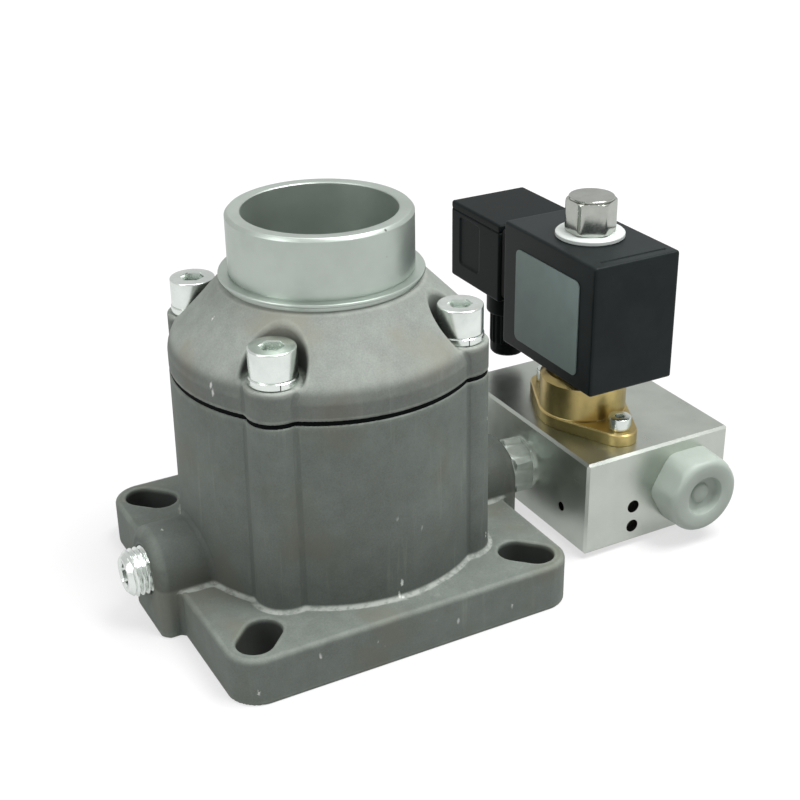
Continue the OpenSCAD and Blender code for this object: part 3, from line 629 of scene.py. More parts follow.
def towards(points: Array, at: tuple, axis: str = "z") -> Array:
    """Turns a shape built along +Z so that it points along an axis, and moves it.

    Args:
        points: The shape's points.
        at: Where its origin goes.
        axis: "z", "-x", "x", "-y" or "-z".

    Returns:
        The placed points.
    """
    turns = {"z": np.eye(3), "x": [[0, 0, 1], [0, 1, 0], [-1, 0, 0]], "-x": [[0, 0, -1], [0, 1, 0], [1, 0, 0]],
             "-y": [[1, 0, 0], [0, 0, -1], [0, 1, 0]], "y": [[1, 0, 0], [0, 0, 1], [0, -1, 0]],
             "-z": [[1, 0, 0], [0, -1, 0], [0, 0, -1]]}
    return points.reshape(-1, 3) @ np.array(turns[axis], float).T + np.array(at, float)


def gather(shapes: list[Surface]) -> Surface:
    """Joins several surfaces of quads into one."""
    starts = np.cumsum([0] + [p.reshape(-1, 3).shape[0] for p, _ in shapes[:-1]])
    return (np.concatenate([p.reshape(-1, 3) for p, _ in shapes]),
            np.concatenate([f + s for (_, f), s in zip(shapes, starts)]))


# ---------------------------------------------------------------- solids as distance fields


def union(a: Array, b: Array, fillet: float = 0.0) -> Array:
    """Joins two fields; the inner corner gets a circular fillet.

    Args:
        a: The first field.
        b: The second field.
        fillet: Radius f of the inner corner.

    Returns:
        max(f, min(a, b)) - hypot(max(f - a, 0), max(f - b, 0)).
    """
    if not fillet:
        return np.minimum(a, b)
    return np.maximum(fillet, np.minimum(a, b)) - np.hypot(np.maximum(fillet - a, 0), np.maximum(fillet - b, 0))


def common(a: Array, b: Array, edge: float = 0.0) -> Array:
    """Keeps what two fields share; the outer edge gets a circular rounding."""
    return -union(-a, -b, edge)


def cut(a: Array, b: Array, edge: float = 0.0) -> Array:
    """Takes the second field out of the first, with a rounded rim."""
    return common(a, -b, edge)


def box_2d(x: Array, y: Array, half_x: float, half_y: float, corner: float) -> Array:
    """Distance to a rectangle with round corners."""
    u, v = np.abs(x) - half_x + corner, np.abs(y) - half_y + corner
    return np.hypot(np.maximum(u, 0), np.maximum(v, 0)) + np.minimum(np.maximum(u, v), 0) - corner


def slot_2d(x: Array, y: Array, length: float, width: float) -> Array:
    """Distance to a slot along x with round ends."""
    return np.hypot(np.maximum(np.abs(x) - (length - width) / 2, 0), y) - width / 2


def corners_of(x: Array, y: Array) -> Pair:
    """Folds the plan onto one corner: distances along and across the nearest diagonal."""
    u, v = np.abs(x), np.abs(y)
    return (u + v) / math.sqrt(2), np.abs(u - v) / math.sqrt(2)


def net_surface(field: Callable[[Array, Array, Array], Array], low: Array, high: Array,
                step: float) -> tuple[Array, Array, Array, Array]:
    """Turns a distance field into a mesh.

    Surface nets: every grid cell with both signs holds one vertex, the mean of its edges' crossings, and every
    crossed grid edge is a quad of its four cells. The vertices then move by Newton steps, p - f g / |g|^2.

    Args:
        field: Signed distance in millimetres at x, y and z.
        low: Lowest corner of the solid.
        high: Highest corner of the solid.
        step: Grid spacing.

    Returns:
        Points, quads, unit normals, and how convex the surface is at each point, from -1 to 1.
    """
    axes = [np.arange(a - 2.03 * step, b + 2.5 * step, step, dtype=np.float32) for a, b in zip(low, high)]
    values = field(axes[0][:, None, None], axes[1][None, :, None], axes[2][None, None, :]).astype(np.float32)
    values = np.ascontiguousarray(np.broadcast_to(values, tuple(len(a) for a in axes)))
    inside = values < 0
    corner = np.array([[i, j, k] for i in (0, 1) for j in (0, 1) for k in (0, 1)])
    shape = tuple(n - 1 for n in values.shape)
    count = np.zeros(shape, np.int8)
    for i, j, k in corner:
        count += inside[i:i + shape[0], j:j + shape[1], k:k + shape[2]]
    mixed = (count > 0) & (count < 8)
    cells = np.argwhere(mixed)
    number = np.full(shape, -1, np.int64)
    number[mixed] = np.arange(len(cells))
    at = np.stack([values[tuple((cells + c).T)] for c in corner], 1)
    total, hits = np.zeros((len(cells), 3)), np.zeros((len(cells), 1))
    for a, b in [(0, 1), (2, 3), (4, 5), (6, 7), (0, 2), (1, 3), (4, 6), (5, 7), (0, 4), (1, 5), (2, 6), (3, 7)]:
        va, vb = at[:, a], at[:, b]
        crossed = (va < 0) != (vb < 0)
        t = np.where(crossed, va / np.where(crossed, va - vb, 1), 0)[:, None]
        total += np.where(crossed[:, None], corner[a] + t * (corner[b] - corner[a]), 0)
        hits += crossed[:, None]
    points = np.array([a[0] for a in axes]) + (cells + total / hits) * step
    quads = []
    for axis in range(3):
        u, v = (axis + 1) % 3, (axis + 2) % 3
        first = [slice(None)] * 3
        second = [slice(None)] * 3
        first[axis], second[axis] = slice(0, -1), slice(1, None)
        change = inside[tuple(first)].astype(np.int8) - inside[tuple(second)].astype(np.int8)
        where = np.argwhere(change != 0)
        sign = change[tuple(where.T)]
        du, dv = np.eye(3, dtype=int)[u], np.eye(3, dtype=int)[v]
        ring = np.stack([number[tuple((where - s * du - t * dv).T)] for s, t in ((1, 1), (0, 1), (0, 0), (1, 0))], 1)
        quads.append(np.where((sign > 0)[:, None], ring, ring[:, ::-1]))

    def value(p: Array) -> Array:
        """The field at a list of points."""
        return np.broadcast_to(field(p[:, 0], p[:, 1], p[:, 2]), (len(p),))

    def slope(p: Array, e: float) -> Pair:
        """Central differences: the gradient, and the sum of the six neighbours."""
        sides = [(value(p + e * d), value(p - e * d)) for d in np.eye(3)]
        return np.stack([(a - b) / (2 * e) for a, b in sides], 1), sum(a + b for a, b in sides)

    for _ in range(3):
        g, _ = slope(points, 0.12)
        move = value(points)[:, None] * g / np.maximum((g ** 2).sum(1, keepdims=True), 0.2)
        points = points - np.clip(move, -0.5 * step, 0.5 * step)
    normal, _ = slope(points, 0.2)
    normal /= np.maximum(np.linalg.norm(normal, axis=1, keepdims=True), 1e-9)
    reach = 1.1
    _, near = slope(points, reach)
    convex = np.clip((near - 6 * value(points)) / reach ** 2 / 0.7, -1, 1)
    return points, np.concatenate(quads), normal, convex


class Casting:
    """A piece whose shape is a distance field."""

    low: tuple[float, float, float]
    high: tuple[float, float, float]
    step: float = 0.7
    limit: int = 150000

    def field(self, x: Array, y: Array, z: Array) -> Array:
        """Signed distance in millimetres, negative inside."""
        raise NotImplementedError

    def cast(self, part: Part, material: Material) -> Thing:
        """Makes the piece's mesh with its "edge" attribute, thinned where it is flat.

        Args:
            part: Where the piece belongs.
            material: Its finish.

        Returns:
            The object.
        """
        points, quads, normal, convex = net_surface(self.field, np.array(self.low), np.array(self.high), self.step)
        thing = part.make(points, quads, material, 180.0, weld=False)
        mesh = thing.data
        mark = mesh.attributes.new("edge", "FLOAT", "POINT")
        mark.data.foreach_set("value", convex.astype(np.float32))
        if 2 * len(quads) > self.limit:
            thin = thing.modifiers.new("thin", "DECIMATE")
            thin.ratio = self.limit / (2 * len(quads))
            thinned = bpy.data.meshes.new_from_object(thing.evaluated_get(bpy.context.evaluated_depsgraph_get()))
            thing.modifiers.clear()
            thing.data = thinned
            thinned.name = part.name
            bpy.data.meshes.remove(mesh)
            mesh = thinned
        spots = np.empty(3 * len(mesh.vertices))
        mesh.vertices.foreach_get("co", spots)
        p = spots.reshape(-1, 3) / MM
        e = 0.15
        g = np.stack([np.broadcast_to(self.field(*(p + e * d).T) - self.field(*(p - e * d).T), (len(p),))
                      for d in np.eye(3)], 1)
        g /= np.maximum(np.linalg.norm(g, axis=1, keepdims=True), 1e-9)
        mesh.normals_split_custom_set_from_vertices(g)
        log.info("%s: %d vertices after thinning", part.name, len(mesh.vertices))
        return thing


# ---------------------------------------------------------------- the cast body and its cover


@dataclass
class BodyCasting(Casting):
    """The square base, the drum with its screw columns, the side bosses and the control cylinder.

    Attributes:
        port_r: Bore radii of the left and the right port.
        port_end: How far from the axis each of the two ends.
        air_way: Radius of the drilled way behind them, and how near to the axis it comes.
        hub: Outer radius, foot and top of the control cylinder.
        hub_slope: Radius at which the slope of its underside starts.
        web: Half thickness of the webs along X and of those along Y, their top and their reach.
        cylinder: Bore radius and floor of the control cylinder.
        cap_seat: Radius and floor of its cap's seat.
        ring_groove: Radius, height and half width of the retaining ring's groove.
        slot: Distance of the bolt slots from the axis, their length and their width.
        thread: Radius and floor of the cover's screw holes.
    """

    low: tuple = (-59.2, -53.0, 0.0)
    high: tuple = (59.2, 53.0, 70.4)
    step: float = 0.62
    limit: int = 190000
    half: float = 53.0
    base_t: float = 14.5
    corner: float = 9.0
    base_edge: float = 1.3
    drum_r: float = 44.2
    draft: float = 0.5
    top: float = 70.4
    cavity_r: float = 33.5
    ear_r: float = 8.0
    screw_circle: float = 39.6
    foot: float = 1.2
    boss_r: float = 12.3
    boss_face: float = 59.2
    boss_soft: float = 3.2
    port_z: float = 17.2
    port_r: tuple = (7.05, 6.63)
    port_end: tuple = (46.0, 46.2)
    air_way: tuple = (2.5, 15.0)
    hub: tuple = (22.0, 6.5, 54.0)
    hub_slope: float = 18.0
    web: tuple = (6.5, 3.0, 27.0, 36.0)
    cylinder: tuple = (17.0, 12.0)
    cap_seat: tuple = (19.05, 49.1)
    ring_groove: tuple = (20.0, 52.8, 0.65)
    slot: tuple = (59.8, 16.5, 10.5)
    thread: tuple = (4.05, 53.4)

    def outside(self, x: Array, y: Array, z: Array) -> Array:
        """Base, drum, columns and bosses, joined with cast fillets.

        Args:
            x: Places along X.
            y: Places along Y.
            z: Heights.

        Returns:
            Signed distance in millimetres, negative inside.
        """
        lean = self.draft * (self.top - z) / (self.top - self.base_t)
        r = np.hypot(x, y)
        along, across = corners_of(x, y)
        drum = r - (self.drum_r + lean)
        column = np.hypot(along - self.screw_circle, across) - (self.ear_r + lean)
        tower = union(drum, column, 0.5)
        tower = common(tower, z - self.top, 0.35)
        base = common(box_2d(x, y, self.half, self.half, self.corner), z - self.base_t, self.base_edge)
        arch = np.where(z < self.port_z, np.abs(y), np.hypot(y, z - self.port_z)) - self.boss_r
        boss = common(arch, np.abs(x) - self.boss_face, self.boss_soft)
        shell = union(tower, base, self.foot)
        shell = union(shell, boss, 1.5)
        return common(shell, -z + 0 * x, 0.5)

    def field(self, x: Array, y: Array, z: Array) -> Array:
        """The casting: outside less the air passage, with the control cylinder held in it by webs.

        Args:
            x: Places along X.
            y: Places along Y.
            z: Heights.

        Returns:
            Signed distance in millimetres, negative inside.
        """
        r = np.hypot(x, y)
        shell = cut(self.outside(x, y, z), r - self.cavity_r, 0.5)
        hub_r, foot, hub_top = self.hub
        port_web, side_web, web_top, web_r = self.web
        hub = common(np.maximum(r - hub_r, (r + foot - z - self.hub_slope) * 0.707), z - hub_top, 1.0)
        hub = common(hub, foot - z, 1.0)
        slab = np.maximum(foot - z, z - web_top)
        webs = np.minimum(common(np.abs(y) - port_web, slab, 1.5), common(np.abs(x) - side_web, slab, 1.5))
        core = union(hub, np.maximum(webs, r - web_r), 2.0)
        solid = union(shell, core, 2.0)
        solid = cut(solid, np.maximum(r - self.cylinder[0], self.cylinder[1] - z), 0.4)
        solid = np.maximum(solid, -np.maximum(r - self.cap_seat[0], self.cap_seat[1] - z))
        groove_r, groove_z, groove_half = self.ring_groove
        solid = np.maximum(solid, -np.maximum(r - groove_r, np.abs(z - groove_z) - groove_half))
        along, across = corners_of(x, y)
        solid = cut(solid, slot_2d(along - self.slot[0], across, *self.slot[1:]), 0.6)
        hole = np.maximum(np.hypot(along - self.screw_circle, across) - self.thread[0], self.thread[1] - z)
        solid = np.maximum(solid, -hole)
        bore = np.hypot(y, z - self.port_z)
        left = np.maximum(bore - self.port_r[0], x + self.port_end[0])
        right = np.maximum(bore - self.port_r[1], self.port_end[1] - x)
        way = np.maximum(bore - self.air_way[0], self.air_way[1] - np.abs(x))
        solid = cut(solid, np.minimum(left, right), 0.4)
        return np.maximum(solid, -way)


@dataclass
class CoverCasting(Casting):
    """The conical cover with its four ears and the pockets round the screws.

    Attributes:
        cone_start: How far in from the rim, and above its top, the cone starts.
        ear_root: Radius from which the ears stand.
        roof: Radius and height of the hollow's upper edge, and the climb and reach of its wall.
    """

    low: tuple = (-44.6, -44.6, 71.6)
    high: tuple = (44.6, 44.6, 95.6)
    step: float = 0.45
    limit: int = 150000
    foot: float = 71.6
    rim_r: float = 44.2
    ear_top: float = 80.4
    ear_r: float = 8.0
    screw_circle: float = 39.6
    pocket_r: float = 8.7
    rim_top: float = 79.4
    cone_r: float = 30.0
    cone_top: float = 94.0
    throat_r: float = 22.4
    cone_start: tuple = (1.4, 1.5)
    top_plane: float = 95.5
    ear_root: float = 32.5
    roof: tuple = (30.0, 78.5, 6.9, 3.0)
    screw_hole_r: float = 4.5

    def field(self, x: Array, y: Array, z: Array) -> Array:
        """Rim, cone and ears less the pockets, the hollow and the holes.

        Args:
            x: Places along X.
            y: Places along Y.
            z: Heights.

        Returns:
            Signed distance in millimetres, negative inside.
        """
        r = np.hypot(x, y)
        along, across = corners_of(x, y)
        d = np.hypot(along - self.screw_circle, across)
        inset, lift = self.cone_start
        rise, run = self.cone_top - self.rim_top - lift, self.rim_r - inset - self.cone_r
        cone = ((r - self.rim_r + inset) * rise + (z - self.rim_top - lift) * run) / math.hypot(rise, run)
        outer = common(common(r - self.rim_r, cone, 2.4), z - self.top_plane, 0.8)
        pocket = cut(outer, common(d - self.pocket_r, self.ear_top - z, 0.8), 0.9)
        ear = common(common(d - self.ear_r, z - self.ear_top, 0.7), self.ear_root - r, 0.5)
        solid = union(pocket, ear, 0.8)
        solid = common(solid, self.foot - z, 0.35)
        roof_r, roof_z, climb, reach = self.roof
        roof = ((r - roof_r) * climb + (z - roof_z) * reach) / math.hypot(climb, reach)
        hollow = common(roof, z - roof_z, 1.5)
        solid = cut(solid, hollow, 0.4)
        solid = np.maximum(solid, self.throat_r - r)
        return np.maximum(solid, self.screw_hole_r - d)


# ---------------------------------------------------------------- turned pieces and fasteners


@dataclass
class Neck:
    """The machined inlet neck with its shoulder and the valve seat.

    Attributes:
        seat: Radius and height of the valve seat's outer edge.
        spigot: Radius and top of the part inside the cover.
        land: Radius of the land under the shoulder.
    """

    bore: float = 21.7
    outer: float = 26.0
    shoulder: float = 28.8
    top: float = 114.9
    shoulder_top: float = 97.7
    seat: tuple = (24.7, 77.0)
    spigot: tuple = (25.4, 92.2)
    land: float = 27.7

    def build(self, material: Material) -> None:
        """A closed profile turned round Z.

        Args:
            material: Its finish.
        """
        b, n, s, t, h = self.bore, self.outer, self.shoulder, self.top, self.shoulder_top
        (seat_r, seat_z), (spigot_r, spigot_z) = self.seat, self.spigot
        pairs = [(b, seat_z + 0.3), (b + 0.3, seat_z), (seat_r, seat_z), (spigot_r, seat_z + 1.4),
                 (spigot_r, spigot_z), (self.land, spigot_z), (self.land, h - 0.9),
                 (s - 0.3, h - 0.9), (s, h - 0.65), (s, h - 0.3), (s - 0.1, h - 0.1), (s - 0.35, h),
                 (n + 0.35, h), (n - 0.3, h + 0.02), (n - 0.3, h + 0.45), (n, h + 0.6), (n, t - 1.0),
                 (n - 0.1, t - 0.8), (n - 0.75, t - 0.1), (n - 0.95, t), (b + 0.5, t), (b + 0.2, t - 0.1),
                 (b, t - 0.35), (b, t - 6)]
        Part("machined_neck", "cast_cover").make(*polar(*profile(pairs, 192), closed=True), material, 20.0)


def cap_screw(head_r: float, head_h: float, shank_r: float, reach: float, key: float, around: int = 72) -> Surface:
    """A socket head cap screw along +Z, whose head stands on z = 0.

    Its rings run from the shank's tip over the head into the socket, whose walls follow a hexagon.

    Args:
        head_r: Head radius.
        head_h: Head height.
        shank_r: Shank radius.
        reach: Length of the shank.
        key: Size of the hexagon across its flats.
        around: Points in a ring.

    Returns:
        Points and faces.
    """
    hexa = hexagon(key, around)
    soft = 0.075 * head_r
    arc = [(head_r - soft + soft * math.cos(a), head_h - soft + soft * math.sin(a))
           for a in np.linspace(0, math.pi / 2, 6)]
    depth = head_h * 0.55
    pairs = [(0, -reach), (shank_r - 0.5, -reach), (shank_r, -reach + 0.5), (shank_r, -0.2), (shank_r + 0.2, 0),
             (head_r - 0.25, 0), (head_r, 0.25), *arc, (hexa * 1.035, head_h), (hexa, head_h - 0.04 * key),
             (hexa, head_h - depth), (0, head_h - depth - 0.2 * key)]
    return polar(*profile(pairs, around))


@dataclass
class Fasteners:
    """The cover's screws and lock washers, the flange's screws and the port plug.

    Attributes:
        circle: Distance of the cover's screws from the axis.
        seat: Height on which their washers lie.
        tip_z: Height of their tips.
        key: Size of their hexagon sockets.
        flange_reach: Distance of the flange's screws from the solenoid's axis.
        flange_top: Height on which their heads stand.
        plug_end: The plug's outer end along X, and its height.
    """

    circle: float = 39.6
    seat: float = 80.4
    washer_t: float = 2.3
    head_r: float = 6.5
    head_h: float = 8.0
    shank_r: float = 4.0
    tip_z: float = 56.4
    key: float = 6.0
    flange_reach: float = 19.8
    flange_top: float = 36.85
    plug_end: tuple = (-65.4, 17.2)

    def build(self, zinc: Material, plug_zinc: Material) -> None:
        """Makes the screws and washers of the cover, the screws of the brass flange, and the plug.

        Args:
            zinc: The screws' plating.
            plug_zinc: The plug's plating.
        """
        head_z = self.seat + self.washer_t
        spots = [(self.circle * math.cos(a), self.circle * math.sin(a)) for a in SCREW_ANGLES]
        points, faces = cap_screw(self.head_r, self.head_h, self.shank_r, head_z - self.tip_z, self.key)
        Part("cap_screws", "zinc", ("cover_screws",)).make(
            *gather([(towards(points, (x, y, head_z)), faces) for x, y in spots]), zinc, 24.0)
        ring, ring_faces = self.split_ring()
        Part("lock_washers", "zinc", ("cover_lock_washers",)).make(
            *gather([(towards(ring, (x, y, self.seat)), ring_faces) for x, y in spots]), zinc, 24.0)
        small, small_faces = cap_screw(3.5, 4.0, 2.0, 12.0, 3.0, 48)
        pair = [(SOLENOID_X, SOLENOID_Y + side * self.flange_reach, self.flange_top) for side in (-1, 1)]
        Part("flange_screws", "zinc", ("base_screws",)).make(
            *gather([(towards(small, at), small_faces) for at in pair]), zinc, 24.0)
        Part("threaded_plug", "zinc", ("port_plug",)).make(*self.plug(), plug_zinc, 40.0)

    def split_ring(self) -> Surface:
        """A square-section ring with a cut, which climbs a little from end to end.

        Returns:
            Points and faces.
        """
        a = np.linspace(0.02, 2 * math.pi - 0.02, 80)[:, None] + math.radians(262)
        outer, inner, t, c = self.head_r + 0.2, 4.2, self.washer_t - 0.1, 0.3
        section = np.array([(inner, c), (inner + c, 0), (outer - c, 0), (outer, c), (outer, t - c), (outer - c, t),
                            (inner + c, t), (inner, t - c)])
        lift = 0.12 * np.linspace(0, 1, 80)[:, None]
        r, h = section[None, :, 0] + 0 * a, section[None, :, 1] + lift
        ring, faces = close_ends(np.stack([r * np.cos(a), r * np.sin(a), h], -1))
        return ring, faces[:, ::-1]

    def plug(self) -> Surface:
        """A set screw along -X: radius = R - depth * wave(height / pitch - angle / turn), faded at its end.

        Returns:
            Points and faces.
        """
        around, pitch, radius, length, key = 72, 1.5, 7.0, 16.2, 6.0
        h = np.arange(0, length - 1.0, 0.125)[:, None]
        turn = np.linspace(0, 1, around, endpoint=False)[None, :]
        wave = 2 * np.abs((h / pitch - turn) % 1.0 - 0.5)
        groove = np.clip(1.25 * wave - 0.12, 0, 1) * 0.85
        thread = radius - groove
        nose = radius - 1.25 * np.clip(1.0 - (length - h) / 1.25, 0, 1) - 0 * turn
        nose = np.minimum(nose, radius - np.clip(h - (length - 1.9), 0, 2) * 0.95)
        wall = np.minimum(thread, nose)
        hexa = hexagon(key, around)
        top = float(length)
        radii = np.concatenate([np.zeros((1, around)), wall, np.full((1, around), 5.1), np.full((1, around), 3.75),
                                hexa[None], hexa[None], np.zeros((1, around))])
        heights = np.concatenate([[[0.0]], h, [[top]], [[top]], [[top - 0.5]], [[top - 5.5]], [[top - 6.6]]])
        points, faces = polar(radii, heights)
        end, height = self.plug_end
        return towards(points, (end + length, 0, height), "-x"), faces


@dataclass
class Manifold:
    """The nipple, the port cap and the brass base on the block.

    Attributes:
        axis: The solenoid's axis.
        top: Height of the block's top.
        nipple_r: Radii of the nipple's thread, the ring inside its flats, its chamfer and its corners.
        nipple_x: Its left end, the two faces of its hexagon and its right end, along X.
        cap_at: The cap's place along X and Y.
        flange: Distance of the flange's screws from its middle, and its large and its small radius.
        tower_r: Radius of the turned body on the flange.
    """

    axis: tuple[float, float] = (SOLENOID_X, SOLENOID_Y)
    top: float = 32.85
    port_z: float = 17.2
    nipple_flats: float = 17.0
    nipple_r: tuple = (6.58, 8.3, 8.6, 9.9)
    nipple_x: tuple = (48.2, 60.2, 67.0, 79.0)
    cap_flats: float = 23.4
    cap_at: tuple = (105.0, -36.0)
    flange: tuple = (19.8, 14.0, 5.5)
    flange_t: float = 4.0
    tower_r: float = 13.6

    def build(self, dull: Material, cap: Material, brass: Material) -> None:
        """Makes the three pieces.

        Args:
            dull: The nipple's finish.
            cap: The cap's finish.
            brass: The base's finish.
        """
        self.nipple(dull)
        self.port_cap(cap)
        self.brass_base(brass)

    def nipple(self, material: Material) -> None:
        """A hexagon with turned corners between two threaded ends: radius = min(hexagon, chamfer).

        Args:
            material: Its finish.
        """
        around = 72
        hexa = hexagon(self.nipple_flats, around, turn=math.pi / 6)
        thread, inner, small, big = self.nipple_r
        low, left, right, high = self.nipple_x
        face, flat = np.minimum(hexa, small), np.minimum(hexa, big)
        pairs = [(0, low), (6.0, low), (thread, low + 0.6), (thread, left), (inner, left), (face, left),
                 (flat, left + 0.6), (flat, right - 0.6), (face, right),
                 (thread, right), (thread, high - 0.6), (6.0, high), (0, high)]
        points, faces = polar(*profile(pairs, around))
        Part("nipple_turned", "zinc", ("hex_nipple",)).make(
            towards(points, (0, 0, self.port_z), "x"), faces, material, 24.0)

    def port_cap(self, material: Material) -> None:
        """A moulded hexagon with soft corners, and a round recess that holds a low boss.

        Args:
            material: Its finish.
        """
        around = 96
        hexa = hexagon(self.cap_flats, around, soft=0.075, turn=math.pi / 2)
        crown = [(np.minimum(hexa, 12.3 - 2.2 * (1 - math.cos(a))), 8.5 + 2.2 * math.sin(a))
                 for a in np.linspace(0, math.pi / 2, 7)]
        pairs = [(0, -9.0), (9.6, -9.0), (10.1, -8.5), (10.1, 0.0), (hexa * 0.985, 0.0), (hexa, 0.35), *crown,
                 (7.0, 10.7), (6.4, 10.4), (6.0, 8.3), (5.6, 7.8), (3.3, 7.7), (3.0, 8.2), (2.5, 8.6), (0, 8.7)]
        points, faces = polar(*profile(pairs, around))
        Part("port_cap_moulded", "cap_plastic", ("port_cap",)).make(
            towards(points, (*self.cap_at, self.port_z), "-y"), faces, material, 50.0)

    def brass_base(self, material: Material) -> None:
        """The rhombic flange and the turned body on it; the flange's radius is that of a hull of three circles.

        Args:
            material: Its finish.
        """
        around = 144
        a = angles(around)
        reach, big, small = self.flange
        lean = math.asin((big - small) / reach)
        u, v = np.abs(np.cos(a)), np.abs(np.sin(a))
        side = big / np.maximum(np.cos(lean) * u + np.sin(lean) * v, 1e-6)
        end = reach * v + np.sqrt(np.maximum(small ** 2 - (reach * u) ** 2, 0))
        angle = np.arctan2(v, u)
        touch = math.atan2(reach + small * math.sin(lean), small * math.cos(lean))
        flange = np.where(angle < lean, big, np.where(angle < touch, side, end))
        t, tower = self.flange_t, self.tower_r
        pairs = [(0, 0.0), (flange - 0.25, 0.0), (flange, 0.25), (flange, t - 0.45), (flange - 0.45, t),
                 (np.minimum(flange, tower + 0.3), t), (tower, t + 0.25), (tower, 14.6), (12.2, 16.0),
                 (12.0, 16.2), (10.5, 16.2), (10.5, 19.4), (0, 19.4)]
        points, faces = polar(*profile(pairs, around))
        Part("brass_base_turned", "brass", ("solenoid_base",)).make(
            towards(points, (*self.axis, self.top)), faces, material, 24.0)


@dataclass(frozen=True)
class Spring:
    """A coil spring of round wire with closed ends.

    Attributes:
        node: The CAD node that it stands for.
        foot: Height of its lowest point.
        height: Its length at rest.
        coil_r: Mean radius of its coils.
        joint: The joint meant to shorten it; not used.
        travel: How much shorter it would be at the joint's limit; not used.
        fixed: Height of the end that would stay; not used.
    """

    name: str
    node: str
    axis: tuple[float, float]
    foot: float
    height: float
    coil_r: float
    wire: float
    turns: int
    joint: str
    travel: float
    fixed: float

    def build(self, material: Material) -> None:
        """Point = middle + wire / 2 (cos b out + sin b up); the middle turns evenly and climbs as t^2 (3 - 2t).

        Args:
            material: Its finish.
        """
        around, half = 12, self.wire / 2
        t = np.linspace(0, 1, 32 * self.turns + 1)[:, None]
        b = angles(around)[None, :]
        a = 2 * math.pi * self.turns * t
        r = self.coil_r + half * np.cos(b)
        z = self.foot + half + (self.height - self.wire) * t * t * (3 - 2 * t) + half * np.sin(b)
        tube = np.stack([self.axis[0] + r * np.cos(a), self.axis[1] + r * np.sin(a), z + 0 * r], -1)
        thing = Part(self.name, "spring_steel", (self.node,)).make(*close_ends(tube), material, 60.0)
        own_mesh(thing)


SPRINGS = (
    Spring("return_spring_coiled", "return_spring", (0.0, 0.0), 12.05, 27.0, 11.56, 1.8, 5,
           "valve_lift", 10.0, 12.05),
    Spring("plunger_spring_coiled", "plunger_spring", (SOLENOID_X, SOLENOID_Y), 63.87, 15.28, 2.3, 0.6, 7,
           "plunger_lift", 2.0, 79.15),
)


@dataclass
class CoilMoulding(Casting):
    """The moulded coil with the line on its top and the socket towards the connector.

    Attributes:
        half: Half sizes along X, Y and Z.
        middle_z: Height of its middle.
        neck_half: Half width and half height of the socket.
        neck_z: Height of the socket's middle.
        neck_y: Where the socket starts and ends.
        line_at: Middle of the line, and the height of its floor.
        line_half: Half length and half width of the line.
        bore_r: Radius of the armature tube's bore.
    """

    low: tuple = (71.0, -30.7, 52.35)
    high: tuple = (101.0, 20.0, 93.05)
    step: float = 0.5
    limit: int = 60000
    half: tuple = (15.0, 24.2, 20.35)
    middle_z: float = 72.7
    neck_half: tuple = (12.5, 11.5)
    neck_z: float = 76.75
    neck_y: tuple = (10.0, 20.0)
    line_at: tuple = (86.6, -27.2, 92.65)
    line_half: tuple = (11.5, 0.42)
    bore_r: float = 6.75

    def field(self, x: Array, y: Array, z: Array) -> Array:
        """A box with soft edges, a neck for the connector, the tube's bore and the line.

        Args:
            x: Places along X.
            y: Places along Y.
            z: Heights.

        Returns:
            Signed distance in millimetres, negative inside.
        """
        across, along = x - SOLENOID_X, y - SOLENOID_Y
        body = common(box_2d(across, along, *self.half[:2], 0.8), np.abs(z - self.middle_z) - self.half[2], 0.8)
        start, end = self.neck_y
        neck = common(box_2d(across, z - self.neck_z, *self.neck_half, 1.0), y - end, 0.2)
        neck = np.maximum(neck, start - y)
        solid = union(body, neck, 0.5)
        line_x, line_y, line_z = self.line_at
        line = np.maximum(np.abs(y - line_y) - self.line_half[1], np.abs(x - line_x) - self.line_half[0])
        solid = cut(solid, np.maximum(line, line_z - z), 0.12)
        return cut(solid, np.hypot(across, along) - self.bore_r, 0.4)


